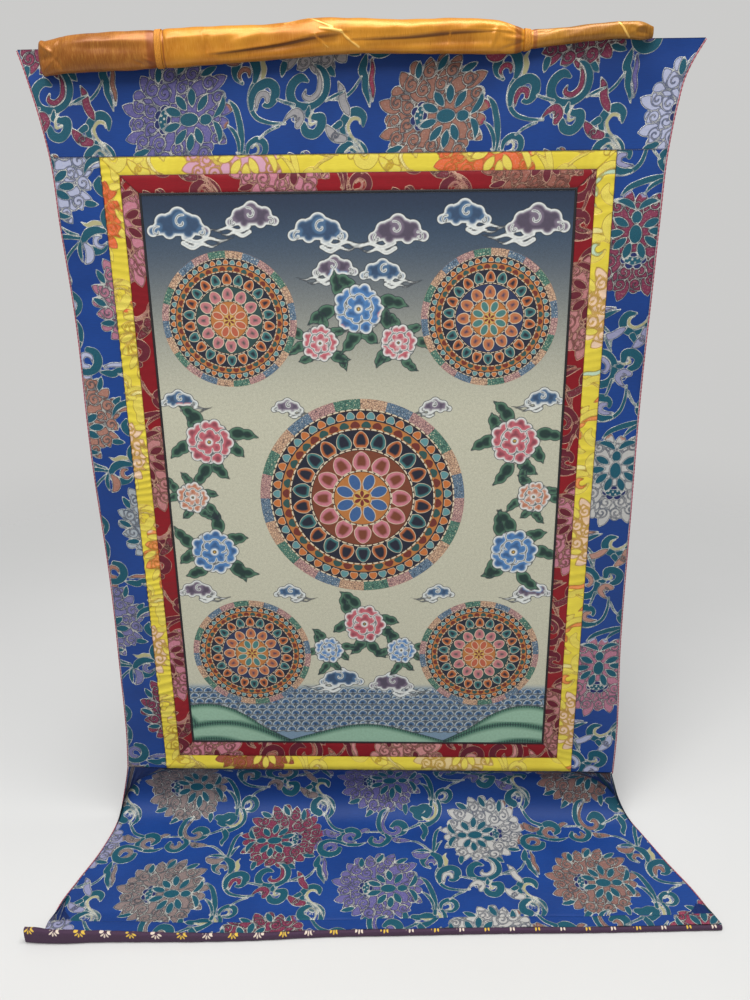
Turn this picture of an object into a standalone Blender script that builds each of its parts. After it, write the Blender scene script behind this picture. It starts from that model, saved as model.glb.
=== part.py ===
"""A brocade-mounted scroll painting (thangka), hanging from its top edge with its skirt swept forward.

Every cloth is first laid out flat: x runs across, v runs up the cloth from its top edge (so v is
negative below it) and n stands out of its face. hang() then bends the flat cloth into the shape in
which it hangs. The finished part has X across, Y to the back and Z up, and its origin lies at the
middle of the top edge.
"""

import math

import bmesh
import bpy
import numpy as np

# Driving sizes, in metres
PAINTING_WIDTH = 0.440
PAINTING_HEIGHT = 0.658
CENTRE_BELOW_TOP = 0.4655
SEAM_GAP = 0.0003
CLOTH_THICK = 0.0020
CANVAS_THICK = 0.0012
PIPING_WIDE = 0.0024
PIPING_THICK = 0.0026
RED_OUTER = {"side": 0.2405, "top": 0.3490, "bottom": 0.3520}
YELLOW_OUTER = {"side": 0.2590, "top": 0.3665, "bottom": 0.3715}
EDGE_CORD_RADIUS = 0.0008
EDGE_CORD_POINTS = 56
TAPE_WIDE = 0.0070
TAPE_THICK = 0.0008
VEIL_SPOKES = 16
HEM_SPOKES = 10
SHARP_DEGREES = 40.0

# Half widths of the mount above the skirt, against the height over the painting's centre
SIDE_OUTLINE = (
    # height, left, right
    (0.4655, 0.3290, 0.3362),
    (0.4460, 0.3235, 0.3252),
    (0.4320, 0.3200, 0.3194),
    (0.4090, 0.3146, 0.3145),
    (0.3665, 0.3076, 0.3088),
    (0.3000, 0.3064, 0.3060),
    (0.2050, 0.3040, 0.3045),
    (0.0700, 0.3040, 0.3036),
    (-0.0900, 0.3023, 0.3044),
    (-0.1950, 0.3022, 0.3070),
    (-0.3270, 0.3054, 0.3115),
    (-0.3715, 0.3095, 0.3108),
)

# Half widths of the skirt, against the cloth's length below the seam
SKIRT_OUTLINE = (
    # below, left, right
    (0.0000, 0.3095, 0.3108),
    (0.0165, 0.3138, 0.3122),
    (0.0315, 0.3178, 0.3161),
    (0.0560, 0.3232, 0.3254),
    (0.0760, 0.3246, 0.3352),
    (0.0975, 0.3260, 0.3460),
    (0.1225, 0.3285, 0.3555),
    (0.1470, 0.3322, 0.3640),
    (0.1920, 0.3432, 0.3815),
    (0.2290, 0.3512, 0.3945),
    (0.2800, 0.3500, 0.4120),
)

# How the skirt turns: its lean from straight down, towards the front, along its length
SKIRT_LEAN = (
    # below, degrees
    (0.000, -26.0),
    (0.022, -18.0),
    (0.044, 3.0),
    (0.066, 44.0),
    (0.088, 80.0),
    (0.110, 90.0),
    (0.300, 90.0),
)

HEM_POCKET = 0.0165
HEM_POCKET_RISE = 0.0024
BINDING_ENDS = {"left": -0.3715, "right": 0.4000}

# The hem, across the skirt: the cloth's length down to it, and how high its binding stands there
HEM_FORM = (
    # across, below, binding height
    (-0.3725, 0.2766, 0.0205),
    (-0.3440, 0.2782, 0.0185),
    (-0.2890, 0.2760, 0.0145),
    (-0.2350, 0.2750, 0.0122),
    (-0.1750, 0.2738, 0.0104),
    (-0.1140, 0.2710, 0.0087),
    (-0.0500, 0.2660, 0.0078),
    (0.0490, 0.2618, 0.0072),
    (0.1410, 0.2578, 0.0066),
    (0.2640, 0.2542, 0.0060),
    (0.4000, 0.2482, 0.0056),
)
FLAT_HEM_THICK = 0.0056

# The rolled veil: the height of its lower and upper side over the painting's centre, its depth,
# and how deep the crease along its front runs
VEIL_FORM = (
    # across, lower, upper, depth, crease
    (-0.3055, 0.4490, 0.4600, 0.0080, 0.00),
    (-0.3000, 0.4425, 0.4695, 0.0150, 0.05),
    (-0.2880, 0.4420, 0.4722, 0.0170, 0.12),
    (-0.2700, 0.4426, 0.4755, 0.0200, 0.00),
    (-0.2400, 0.4433, 0.4770, 0.0210, 0.00),
    (-0.2100, 0.4441, 0.4781, 0.0205, 0.03),
    (-0.1960, 0.4450, 0.4783, 0.0195, 0.00),
    (-0.1800, 0.4452, 0.4792, 0.0210, 0.03),
    (-0.1300, 0.4482, 0.4810, 0.0215, 0.14),
    (-0.0650, 0.4520, 0.4825, 0.0210, 0.16),
    (-0.0350, 0.4538, 0.4858, 0.0230, 0.02),
    (-0.0050, 0.4552, 0.4854, 0.0225, 0.12),
    (0.0500, 0.4546, 0.4834, 0.0210, 0.20),
    (0.1000, 0.4537, 0.4838, 0.0210, 0.20),
    (0.1400, 0.4530, 0.4806, 0.0190, 0.12),
    (0.1550, 0.4535, 0.4765, 0.0155, 0.00),
    (0.1650, 0.4555, 0.4742, 0.0125, 0.00),
    (0.1760, 0.4575, 0.4738, 0.0130, 0.04),
    (0.2000, 0.4602, 0.4748, 0.0130, 0.00),
    (0.2300, 0.4630, 0.4776, 0.0130, 0.00),
    (0.2570, 0.4644, 0.4790, 0.0130, 0.06),
    (0.2720, 0.4630, 0.4784, 0.0120, 0.14),
    (0.2835, 0.4650, 0.4750, 0.0070, 0.00),
)
VEIL_TAPES = {"left": -0.1850, "right": 0.1650}
VEIL_STATION_STEP = 0.0150

COLOURS = {
    # name: base colour, roughness, metallic
    "painted_canvas": ((0.52, 0.50, 0.40), 0.80, 0.0),
    "black_piping": ((0.01, 0.01, 0.012), 0.60, 0.0),
    "red_brocade": ((0.42, 0.02, 0.03), 0.45, 0.1),
    "yellow_brocade": ((0.78, 0.62, 0.06), 0.40, 0.1),
    "blue_brocade": ((0.02, 0.06, 0.42), 0.50, 0.1),
    "edge_cord": ((0.62, 0.20, 0.24), 0.70, 0.0),
    "veil_satin": ((0.80, 0.40, 0.05), 0.30, 0.1),
    "orange_tape": ((0.80, 0.30, 0.04), 0.45, 0.0),
    "lining_cotton": ((0.11, 0.06, 0.12), 0.85, 0.0),
}


def clear_scene():
    for found in list(bpy.data.objects):
        bpy.data.objects.remove(found, do_unlink=True)


def material(name):
    colour, roughness, metallic = COLOURS[name]
    made = bpy.data.materials.get(name) or bpy.data.materials.new(name)
    made.use_nodes = True
    shader = made.node_tree.nodes["Principled BSDF"]
    shader.inputs["Base Color"].default_value = (*colour, 1.0)
    shader.inputs["Roughness"].default_value = roughness
    shader.inputs["Metallic"].default_value = metallic
    return made


def through(rows, column, at):
    """Reads a smooth curve that passes through one column of a table, first column first."""
    keys = np.array([row[0] for row in rows], dtype=float)
    values = np.array([row[column] for row in rows], dtype=float)
    if keys[0] > keys[-1]:
        keys = keys[::-1]
        values = values[::-1]
    slopes = np.gradient(values, keys)
    at = float(np.clip(at, keys[0], keys[-1]))
    left = int(np.clip(np.searchsorted(keys, at) - 1, 0, len(keys) - 2))
    span = keys[left + 1] - keys[left]
    part = (at - keys[left]) / span
    rise = part * part * (3.0 - 2.0 * part)
    start_pull = part * (1.0 - part) ** 2 * span * slopes[left]
    end_pull = part * part * (1.0 - part) * span * slopes[left + 1]
    return float(values[left] + (values[left + 1] - values[left]) * rise + start_pull - end_pull)


def ramp(low, high, at):
    """Goes smoothly from 0 at low to 1 at high."""
    part = min(max((at - low) / (high - low), 0.0), 1.0)
    return part * part * (3.0 - 2.0 * part)


def bump(middle, wide, at):
    """A soft hump of height 1."""
    return math.exp(-(((at - middle) / wide) ** 2))


SEAM_V = -YELLOW_OUTER["bottom"] - CENTRE_BELOW_TOP
PROFILE_STEP = 0.001
PROFILE_S = np.arange(0.0, 0.3, PROFILE_STEP)
PROFILE_LEAN = np.radians(
    np.interp(PROFILE_S, [row[0] for row in SKIRT_LEAN], [row[1] for row in SKIRT_LEAN])
)
PROFILE_FRONT = np.cumsum(np.sin(PROFILE_LEAN)) * PROFILE_STEP
PROFILE_DOWN = np.cumsum(np.cos(PROFILE_LEAN)) * PROFILE_STEP


def hem_line(x):
    """The skirt's length below its seam."""
    return through(HEM_FORM, 1, x)


def hem_curl(x):
    """How far the hem is turned up, most at its left end."""
    return 0.75 * (through(HEM_FORM, 2, x) - FLAT_HEM_THICK)


def upper_relief(x, height):
    """How far the upright cloth stands out: a faint belly, loose sides, a swag and a full seam."""
    belly = 0.0030 * math.cos(math.pi * x / 0.66) * math.sin(math.pi * (height + 0.3715) / 0.837)
    loose = ramp(0.250, 0.305, abs(x))
    phase = 0.6 if x < 0.0 else 2.4
    sides = 0.0024 * loose * math.sin(2.0 * math.pi * height / 0.31 + phase)
    swag = 0.0016 * ramp(0.375, 0.450, height) * math.cos(2.0 * math.pi * x / 0.22)
    lip = 0.0022 * bump(-0.3660, 0.0075, height) * (1.0 - ramp(0.255, 0.275, abs(x)))
    return belly + sides + swag + lip


def skirt_relief(x, below):
    """Loose waves in the skirt, a deeper tuck under the seam at the right, and the raised hem."""
    seam = upper_relief(x, -YELLOW_OUTER["bottom"]) * (1.0 - ramp(0.0, 0.012, below))
    tuck = -0.0050 * ramp(0.05, 0.26, x) * bump(0.024, 0.013, below)
    waves = 0.0016 * ramp(0.085, 0.140, below) * (1.0 + math.sin(2.0 * math.pi * x / 0.23 + 12.0 * below))
    curl = hem_curl(x) * ramp(hem_line(x) - 0.038, hem_line(x) - 0.006, below)
    flat_hem = 1.0 - ramp(hem_line(x) - 0.060, hem_line(x) - 0.010, below)
    return seam + tuck + waves * flat_hem + curl


def pocket_rise(x, below):
    """The fold at the hem lies double, so the face stands higher there."""
    start = hem_line(x) - HEM_POCKET
    return HEM_POCKET_RISE * ramp(start - 0.0010, start + 0.0010, below)


def hang(x, v, n):
    """Bends a point of the flat cloth into the hanging shape."""
    if v >= SEAM_V:
        out = n + upper_relief(x, v + CENTRE_BELOW_TOP)
        return (x, -out, v)
    below = SEAM_V - v
    out = n + skirt_relief(x, below)
    if n > 0.0:
        out += pocket_rise(x, below)
    lean = float(np.interp(below, PROFILE_S, PROFILE_LEAN))
    front = float(np.interp(below, PROFILE_S, PROFILE_FRONT))
    down = float(np.interp(below, PROFILE_S, PROFILE_DOWN))
    return (x, -front - out * math.cos(lean), SEAM_V - down + out * math.sin(lean))


def finish(name, bm, look):
    """Makes a closed mesh an object of its own, with its faces outward."""
    bmesh.ops.recalc_face_normals(bm, faces=bm.faces)
    bmesh.ops.triangulate(bm, faces=bm.faces)
    mesh = bpy.data.meshes.new(name)
    bm.to_mesh(mesh)
    bm.free()
    made = bpy.data.objects.new(name, mesh)
    made.data.materials.append(material(look))
    bpy.context.scene.collection.objects.link(made)
    mesh.shade_smooth()
    mesh.set_sharp_from_angle(angle=math.radians(SHARP_DEGREES))


def hang_cloth(name, bm, thickness, look):
    """Gives a panel that is laid out flat its thickness, and hangs it."""
    for vert in bm.verts:
        vert.co.z = thickness / 2.0
    backed = bmesh.ops.extrude_face_region(bm, geom=bm.faces[:])
    for item in backed["geom"]:
        if isinstance(item, bmesh.types.BMVert):
            item.co.z = -thickness / 2.0
    for vert in bm.verts:
        vert.co = hang(*vert.co)
    finish(name, bm, look)


def cloth(name, place, columns, rows, thickness, look):
    """Cuts a panel and hangs it.

    place(across, up) gives a flat point (x, v) for shares of the panel's width and height.
    """
    bm = bmesh.new()
    bmesh.ops.create_grid(bm, x_segments=columns, y_segments=rows, size=0.5)
    for vert in bm.verts:
        x, v = place(vert.co.x + 0.5, vert.co.y + 0.5)
        vert.co = (x, v, 0.0)
    hang_cloth(name, bm, thickness, look)


def between(low, high, part):
    return low + (high - low) * part


def strip_place(outer_a, outer_b, inner_a, inner_b):
    """Places a strip with mitred ends: across runs from end a to end b, up from inside to outside."""

    def place(across, up):
        inner = [between(inner_a[axis], inner_b[axis], across) for axis in (0, 1)]
        outer = [between(outer_a[axis], outer_b[axis], across) for axis in (0, 1)]
        return tuple(between(inner[axis], outer[axis], up) for axis in (0, 1))

    return place


def frame_corners(half_width, top, bottom):
    """The corners of a rectangle about the painting's centre, as flat cloth points."""
    return {
        "top_left": (-half_width, top - CENTRE_BELOW_TOP),
        "top_right": (half_width, top - CENTRE_BELOW_TOP),
        "bottom_left": (-half_width, -bottom - CENTRE_BELOW_TOP),
        "bottom_right": (half_width, -bottom - CENTRE_BELOW_TOP),
    }


def moved(point, across, up):
    return (point[0] + across, point[1] + up)


def mitred_frame(name, inner, outer, look, segments):
    """Four strips with mitred corners around a rectangle, a seam gap apart from all they meet."""
    half = SEAM_GAP / 2.0
    sides = {
        # side: first corner, second corner, direction along the strip
        "top": ("top_left", "top_right", (1, 0)),
        "bottom": ("bottom_left", "bottom_right", (1, 0)),
        "left": ("bottom_left", "top_left", (0, 1)),
        "right": ("bottom_right", "top_right", (0, 1)),
    }
    for side, (first, second, way) in sides.items():
        shift = (way[0] * SEAM_GAP * 0.75, way[1] * SEAM_GAP * 0.75)
        outward = {"top": (0, -half), "bottom": (0, half), "left": (half, 0), "right": (-half, 0)}[side]
        inward = (-outward[0], -outward[1])
        outer_a = moved(moved(outer[first], *shift), *outward)
        outer_b = moved(moved(outer[second], -shift[0], -shift[1]), *outward)
        inner_a = moved(moved(inner[first], *shift), *inward)
        inner_b = moved(moved(inner[second], -shift[0], -shift[1]), *inward)
        count = segments["long"] if side in ("left", "right") else segments["short"]
        place = strip_place(outer_a, outer_b, inner_a, inner_b)
        cloth(f"{name}_{side}", place, count, segments["across"], CLOTH_THICK, look)


def painted_canvas():
    half_width = PAINTING_WIDTH / 2.0 - SEAM_GAP / 2.0
    half_height = PAINTING_HEIGHT / 2.0 - SEAM_GAP / 2.0

    def place(across, up):
        return (
            between(-half_width, half_width, across),
            between(-half_height, half_height, up) - CENTRE_BELOW_TOP,
        )

    cloth("painted_canvas", place, 14, 20, CANVAS_THICK, "painted_canvas")


def black_piping():
    """The narrow dark frame folded in between the painting and the red strips."""
    bm = bmesh.new()
    bmesh.ops.create_grid(bm, x_segments=14, y_segments=20, size=0.5)
    field = bm.faces[:]
    rim = [edge for edge in bm.edges if edge.is_boundary]
    grown = bmesh.ops.extrude_edge_only(bm, edges=rim)
    outer = {item for item in grown["geom"] if isinstance(item, bmesh.types.BMVert)}
    for vert in bm.verts:
        away = PIPING_WIDE - SEAM_GAP / 2.0 if vert in outer else SEAM_GAP / 2.0
        x = vert.co.x * (PAINTING_WIDTH + 2.0 * away)
        height = vert.co.y * (PAINTING_HEIGHT + 2.0 * away)
        vert.co = (x, height - CENTRE_BELOW_TOP, 0.0)
    bmesh.ops.delete(bm, geom=field, context="FACES")
    hang_cloth("black_piping", bm, PIPING_THICK, "black_piping")


def top_band():
    low = YELLOW_OUTER["top"] + SEAM_GAP / 2.0

    def place(across, up):
        height = between(low, CENTRE_BELOW_TOP, up)
        left = -through(SIDE_OUTLINE, 1, height)
        right = through(SIDE_OUTLINE, 2, height)
        return (between(left, right, across), height - CENTRE_BELOW_TOP)

    cloth("blue_top_band", place, 30, 6, CLOTH_THICK, "blue_brocade")


def side_strip(side):
    low = -YELLOW_OUTER["bottom"] + SEAM_GAP / 2.0
    high = YELLOW_OUTER["top"] - SEAM_GAP / 2.0
    inner = YELLOW_OUTER["side"] + SEAM_GAP / 2.0

    def place(across, up):
        height = between(low, high, up)
        if side == "left":
            x = between(-through(SIDE_OUTLINE, 1, height), -inner, across)
        else:
            x = between(inner, through(SIDE_OUTLINE, 2, height), across)
        return (x, height - CENTRE_BELOW_TOP)

    cloth(f"blue_side_{side}", place, 3, 34, CLOTH_THICK, "blue_brocade")


def skirt():
    """The blue cloth below the seam, with its hem folded back into a pocket."""
    pocket_start = 1.0 - HEM_POCKET / hem_line(0.0)
    rows = list(np.linspace(0.0, pocket_start - 0.012, 25))
    rows += [pocket_start - 0.004, pocket_start + 0.004, 0.994, 1.0]

    def place(across, up):
        row = rows[round((1.0 - up) * (len(rows) - 1))]
        rough = row * hem_line(0.0)
        x = between(-through(SKIRT_OUTLINE, 1, rough), through(SKIRT_OUTLINE, 2, rough), across)
        below = between(SEAM_GAP / 2.0, hem_line(x), row)
        x = between(-through(SKIRT_OUTLINE, 1, below), through(SKIRT_OUTLINE, 2, below), across)
        return (x, SEAM_V - below)

    cloth("blue_skirt", place, 32, len(rows) - 1, CLOTH_THICK, "blue_brocade")


def edge_cord(side):
    """The twisted cord sewn along one outer edge, from the top corner to the hem."""
    sign = -1.0 if side == "left" else 1.0
    column = 1 if side == "left" else 2
    away = EDGE_CORD_RADIUS + SEAM_GAP
    lowest = SEAM_V - hem_line(sign * 0.36) + 0.006
    data = bpy.data.curves.new(f"edge_cord_{side}", "CURVE")
    data.dimensions = "3D"
    data.bevel_depth = EDGE_CORD_RADIUS
    data.bevel_resolution = 0
    data.use_fill_caps = True
    line = data.splines.new("POLY")
    line.points.add(EDGE_CORD_POINTS - 1)
    for index, point in enumerate(line.points):
        v = between(-0.001, lowest, index / (EDGE_CORD_POINTS - 1))
        if v >= SEAM_V:
            half = through(SIDE_OUTLINE, column, v + CENTRE_BELOW_TOP)
        else:
            half = through(SKIRT_OUTLINE, column, SEAM_V - v)
        point.co = (*hang(sign * (half + away), v, 0.0), 1.0)
    made = bpy.data.objects.new(f"edge_cord_{side}", data)
    made.data.materials.append(material("edge_cord"))
    bpy.context.scene.collection.objects.link(made)


def loft(name, stations, spokes, section, look):
    """Draws a closed form through sections: section(station, angle) gives a point."""
    bm = bmesh.new()
    bmesh.ops.create_circle(bm, cap_ends=True, cap_tris=False, segments=spokes, radius=1.0)
    spoke = bm.verts.layers.int.new("spoke")
    bm.verts.ensure_lookup_table()
    for index, vert in enumerate(bm.verts):
        vert[spoke] = index
        vert.co = section(stations[0], 2.0 * math.pi * index / spokes)
    cap = bm.faces[:]
    for station in stations[1:]:
        grown = bmesh.ops.extrude_face_region(bm, geom=cap)
        if station != stations[1]:
            bmesh.ops.delete(bm, geom=cap, context="FACES_ONLY")
        cap = [item for item in grown["geom"] if isinstance(item, bmesh.types.BMFace)]
        for vert in cap[0].verts:
            vert.co = section(station, 2.0 * math.pi * vert[spoke] / spokes)
    finish(name, bm, look)


def rounded(angle, squareness):
    """A point of a rounded square of half width 1."""
    along = math.copysign(abs(math.cos(angle)) ** squareness, math.cos(angle))
    over = math.copysign(abs(math.sin(angle)) ** squareness, math.sin(angle))
    return along, over


def veil_section(x, angle, proud=0.0):
    """A point of the rolled veil's outline at x, moved out by proud."""
    low = through(VEIL_FORM, 1, x)
    high = through(VEIL_FORM, 2, x)
    depth = through(VEIL_FORM, 3, x)
    crease = through(VEIL_FORM, 4, x)
    along, over = rounded(angle, 0.86)
    front_face = bump(math.radians(188.0), math.radians(24.0), angle)
    if proud == 0.0:
        along *= 1.0 - crease * front_face
    clear = SEAM_GAP * 2.0 + TAPE_THICK
    face = -upper_relief(x, min(high, CENTRE_BELOW_TOP)) - CLOTH_THICK / 2.0 - clear
    y = face - depth / 2.0 + along * (depth / 2.0 + proud)
    z = (low + high) / 2.0 + over * ((high - low) / 2.0 + proud) - CENTRE_BELOW_TOP
    return (x, y, z)


def tape_stations(side):
    """Where along the veil a tape begins, has its middle and ends."""
    return [VEIL_TAPES[side] + share * TAPE_WIDE for share in (-0.5, 0.0, 0.5)]


def veil_roll():
    """The satin veil, wound up along the top edge."""
    first = VEIL_FORM[0][0]
    last = VEIL_FORM[-1][0]
    fixed = [first, *tape_stations("left"), *tape_stations("right"), last]
    fixed += [first + 0.005, first + 0.016, last - 0.005, last - 0.012]
    count = round((last - first) / VEIL_STATION_STEP)
    spread = [between(first, last, index / count) for index in range(count + 1)]
    clear = [x for x in spread if min(abs(x - other) for other in fixed) > 0.004]
    loft("veil_roll", sorted(fixed + clear), VEIL_SPOKES, veil_section, "veil_satin")


def veil_tape(side):
    """A narrow tape tied once around the rolled veil."""
    bm = bmesh.new()
    bmesh.ops.create_circle(bm, cap_ends=False, segments=VEIL_SPOKES, radius=1.0)
    spoke = bm.verts.layers.int.new("spoke")
    place = bm.verts.layers.int.new("place")
    for index, vert in enumerate(bm.verts):
        vert[spoke] = index
    rim = bm.edges[:]
    for step in (1, 2):
        grown = bmesh.ops.extrude_edge_only(bm, edges=rim)
        rim = [item for item in grown["geom"] if isinstance(item, bmesh.types.BMEdge)]
        for vert in {vert for edge in rim for vert in edge.verts}:
            vert[place] = step
    band = bmesh.ops.extrude_face_region(bm, geom=bm.faces[:])
    outer = {item for item in band["geom"] if isinstance(item, bmesh.types.BMVert)}
    for vert in bm.verts:
        proud = SEAM_GAP + (TAPE_THICK if vert in outer else 0.0)
        angle = 2.0 * math.pi * vert[spoke] / VEIL_SPOKES
        vert.co = veil_section(tape_stations(side)[vert[place]], angle, proud)
    finish(f"veil_tape_{side}", bm, "orange_tape")


def hem_binding():
    """The cotton lining, turned over the front of the hem and standing up at its left end."""
    count = 44
    ends = BINDING_ENDS
    stations = [between(ends["left"], ends["right"], index / count) for index in range(count + 1)]
    ground = hang(0.0, SEAM_V - 0.2, 0.0)[2] - CLOTH_THICK / 2.0 - skirt_relief(0.0, 0.2)

    def section(x, angle):
        height = through(HEM_FORM, 2, x)
        depth = 0.0034 + 0.20 * height
        along, over = rounded(angle, 0.60)
        front = hang(x, SEAM_V - hem_line(x), 0.0)[1]
        y = front - SEAM_GAP - depth / 2.0 + along * depth / 2.0
        z = ground + height / 2.0 + over * height / 2.0
        return (x, y, z)

    loft("hem_binding", stations, HEM_SPOKES, section, "lining_cotton")


def build():
    clear_scene()
    piped = frame_corners(
        PAINTING_WIDTH / 2.0 + PIPING_WIDE,
        PAINTING_HEIGHT / 2.0 + PIPING_WIDE,
        PAINTING_HEIGHT / 2.0 + PIPING_WIDE,
    )
    red = frame_corners(RED_OUTER["side"], RED_OUTER["top"], RED_OUTER["bottom"])
    yellow = frame_corners(YELLOW_OUTER["side"], YELLOW_OUTER["top"], YELLOW_OUTER["bottom"])
    painted_canvas()
    black_piping()
    mitred_frame("red_strip", piped, red, "red_brocade", {"short": 16, "long": 22, "across": 1})
    mitred_frame("yellow_strip", red, yellow, "yellow_brocade", {"short": 18, "long": 26, "across": 2})
    top_band()
    side_strip("left")
    side_strip("right")
    skirt()
    hem_binding()
    edge_cord("left")
    edge_cord("right")
    veil_roll()
    veil_tape("left")
    veil_tape("right")


build()
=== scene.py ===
"""The looks of a brocade-mounted scroll painting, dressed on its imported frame.

Every cloth is laid out flat first: x runs across it, v runs up from its top edge (negative below)
and n stands out of its face, all in metres. The flat cloth is then bent to the way it hangs.
Woven and painted patterns are drawn in millimetres on charts, as strokes.
"""

import math

import bmesh
import bpy
import numpy as np
from mathutils import Matrix, Vector


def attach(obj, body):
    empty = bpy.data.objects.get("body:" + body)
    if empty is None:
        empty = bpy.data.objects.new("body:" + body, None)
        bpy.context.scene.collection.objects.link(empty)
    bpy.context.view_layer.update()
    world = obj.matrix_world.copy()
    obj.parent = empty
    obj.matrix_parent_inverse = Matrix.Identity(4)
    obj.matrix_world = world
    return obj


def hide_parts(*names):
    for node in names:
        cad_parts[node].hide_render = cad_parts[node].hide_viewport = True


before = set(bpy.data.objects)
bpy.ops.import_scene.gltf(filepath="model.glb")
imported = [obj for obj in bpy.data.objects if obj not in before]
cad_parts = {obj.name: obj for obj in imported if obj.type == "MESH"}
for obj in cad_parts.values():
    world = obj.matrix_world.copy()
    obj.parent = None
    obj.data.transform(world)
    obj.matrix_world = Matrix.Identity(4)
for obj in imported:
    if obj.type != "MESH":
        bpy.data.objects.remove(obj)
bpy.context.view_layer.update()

# The painting: primed cotton, painted in gum colours, then sewn into its silk mount. It hangs
# straight, with a faint belly. Its design is a group of five flower wheels between clouds above
# and hills below, with peonies in the gaps.
PAINTING_WIDE = 0.440
PAINTING_HIGH = 0.658
CENTRE_BELOW_TOP = 0.4655
CANVAS_THICK = 0.0012
SEAM_GAP = 0.00006
BELLY_DEEP = 0.0030
LOOSE_SIDES_DEEP = 0.0024
SWAG_DEEP = 0.0016
SEAM_LIP_DEEP = 0.0022
CLOTH_EDGE_ANGLE = math.radians(55.0)
MM = 1000.0  # millimetres in a metre
FULL_TURN = 2.0 * math.pi


def ramp(low, high, at):
    """Goes smoothly from 0 at low to 1 at high."""
    part = np.clip((np.asarray(at, dtype=float) - low) / (high - low), 0.0, 1.0)
    return part * part * (3.0 - 2.0 * part)


def bump(middle, wide, at):
    """A soft hump of height 1."""
    return np.exp(-(((np.asarray(at, dtype=float) - middle) / wide) ** 2))


def between(low, high, part):
    return low + (high - low) * part


def upright_relief(x, height):
    """How far the upright cloth stands out: a faint belly, loose sides, a swag and a full seam."""
    belly = BELLY_DEEP * np.cos(math.pi * x / 0.66) * np.sin(math.pi * (height + 0.3715) / 0.837)
    loose = ramp(0.250, 0.305, np.abs(x)) * np.sin(FULL_TURN * height / 0.31 + np.where(x < 0.0, 0.6, 2.4))
    swag = ramp(0.375, 0.450, height) * np.cos(FULL_TURN * x / 0.22)
    lip = bump(-0.3660, 0.0075, height) * (1.0 - ramp(0.255, 0.275, np.abs(x)))
    return belly + LOOSE_SIDES_DEEP * loose + SWAG_DEEP * swag + SEAM_LIP_DEEP * lip


def hang_upright(x, v, n):
    """Bends points of the flat cloth into the way the upper part hangs."""
    return np.stack([x, -(n + upright_relief(x, v + CENTRE_BELOW_TOP)), v], axis=-1)


def cut_free(name, bm):
    """Turns a bmesh into a piece of the scene, at the origin."""
    mesh = bpy.data.meshes.new(name)
    bm.to_mesh(mesh)
    bm.free()
    piece = bpy.data.objects.new(name, mesh)
    bpy.context.scene.collection.objects.link(piece)
    return piece


def store(mesh, name, kind, values):
    """Keeps a number, vector or colour for each point of a mesh, for its material to read."""
    layer = mesh.attributes.new(name, kind, "POINT")
    field = {"FLOAT": "value", "FLOAT_VECTOR": "vector", "FLOAT_COLOR": "color"}[kind]
    layer.data.foreach_set(field, values.astype(np.float32).ravel())


def sew(name, place, face_cells, back_cells, thickness, hang, face_relief=None):
    """Makes a closed cloth: a fine face, and a plain back in the second material slot.

    place(across, up) turns shares of the cloth's width and height into flat points (x, v).
    """
    bm = bmesh.new()
    bmesh.ops.create_grid(bm, x_segments=face_cells[0], y_segments=face_cells[1], size=0.5)
    face_points = len(bm.verts)
    bmesh.ops.create_grid(bm, x_segments=back_cells[0], y_segments=back_cells[1], size=0.5)
    bm.verts.ensure_lookup_table()
    back_points = set(bm.verts[face_points:])
    for face in bm.faces:
        face.smooth = True
        if face.verts[0] in back_points:
            face.material_index = 1
            face.normal_flip()
    bmesh.ops.bridge_loops(bm, edges=[edge for edge in bm.edges if edge.is_boundary])
    bmesh.ops.triangulate(bm, faces=[face for face in bm.faces if len(face.verts) > 4])
    cloth = cut_free(name, bm)
    mesh = cloth.data
    shares = np.empty(len(mesh.vertices) * 3)
    mesh.vertices.foreach_get("co", shares)
    across, up, _ = shares.reshape(-1, 3).T
    x, v = place(across + 0.5, up + 0.5)
    is_face = np.arange(len(x)) < face_points
    n = np.where(is_face, thickness / 2.0, -thickness / 2.0)
    if face_relief is not None:
        n = n + np.where(is_face, face_relief(x, v, across + 0.5, up + 0.5), 0.0)
    mesh.vertices.foreach_set("co", hang(x, v, n).astype(np.float32).ravel())
    corner, along, upward = (np.array(place(*at)) for at in ((0.0, 0.0), (1.0, 0.0), (0.0, 1.0)))
    long, high = (float(np.hypot(*(far - corner))) * MM for far in (along, upward))
    to_seam = np.minimum((0.5 - np.abs(across)) * long, (0.5 - np.abs(up)) * high)
    store(mesh, "seam", "FLOAT", to_seam)
    flat = np.stack([x, v], axis=-1) * MM
    corners = np.empty(len(mesh.loops), dtype=int)
    mesh.loops.foreach_get("vertex_index", corners)
    layer = mesh.uv_layers.new(name="flat_millimetres")
    layer.uv.foreach_set("vector", flat[corners].astype(np.float32).ravel())
    mesh.set_sharp_from_angle(angle=CLOTH_EDGE_ANGLE)
    mesh.update()
    return cloth, flat


THREADS = ("flower", "leaf", "navy", "cream")
FAR = 9.0
OUTLINE_REACH = 5.0
NEAR_A_FLOWER = 3.0


def new_chart(wide, high, cell):
    """An empty chart. Each thread has its signed distance in millimetres, below 0 inside.

    The nearest outline is kept as its distance and as the way to it, across and down.
    """
    shape = (round(high / cell), round(wide / cell))
    chart = {thread: np.full(shape, FAR) for thread in (*THREADS, "line", "line_x")}
    for field in ("line_y", "owner_x", "owner_y"):
        chart[field] = np.zeros(shape)
    chart["cell"] = (wide / shape[1], high / shape[0])
    return chart


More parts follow.
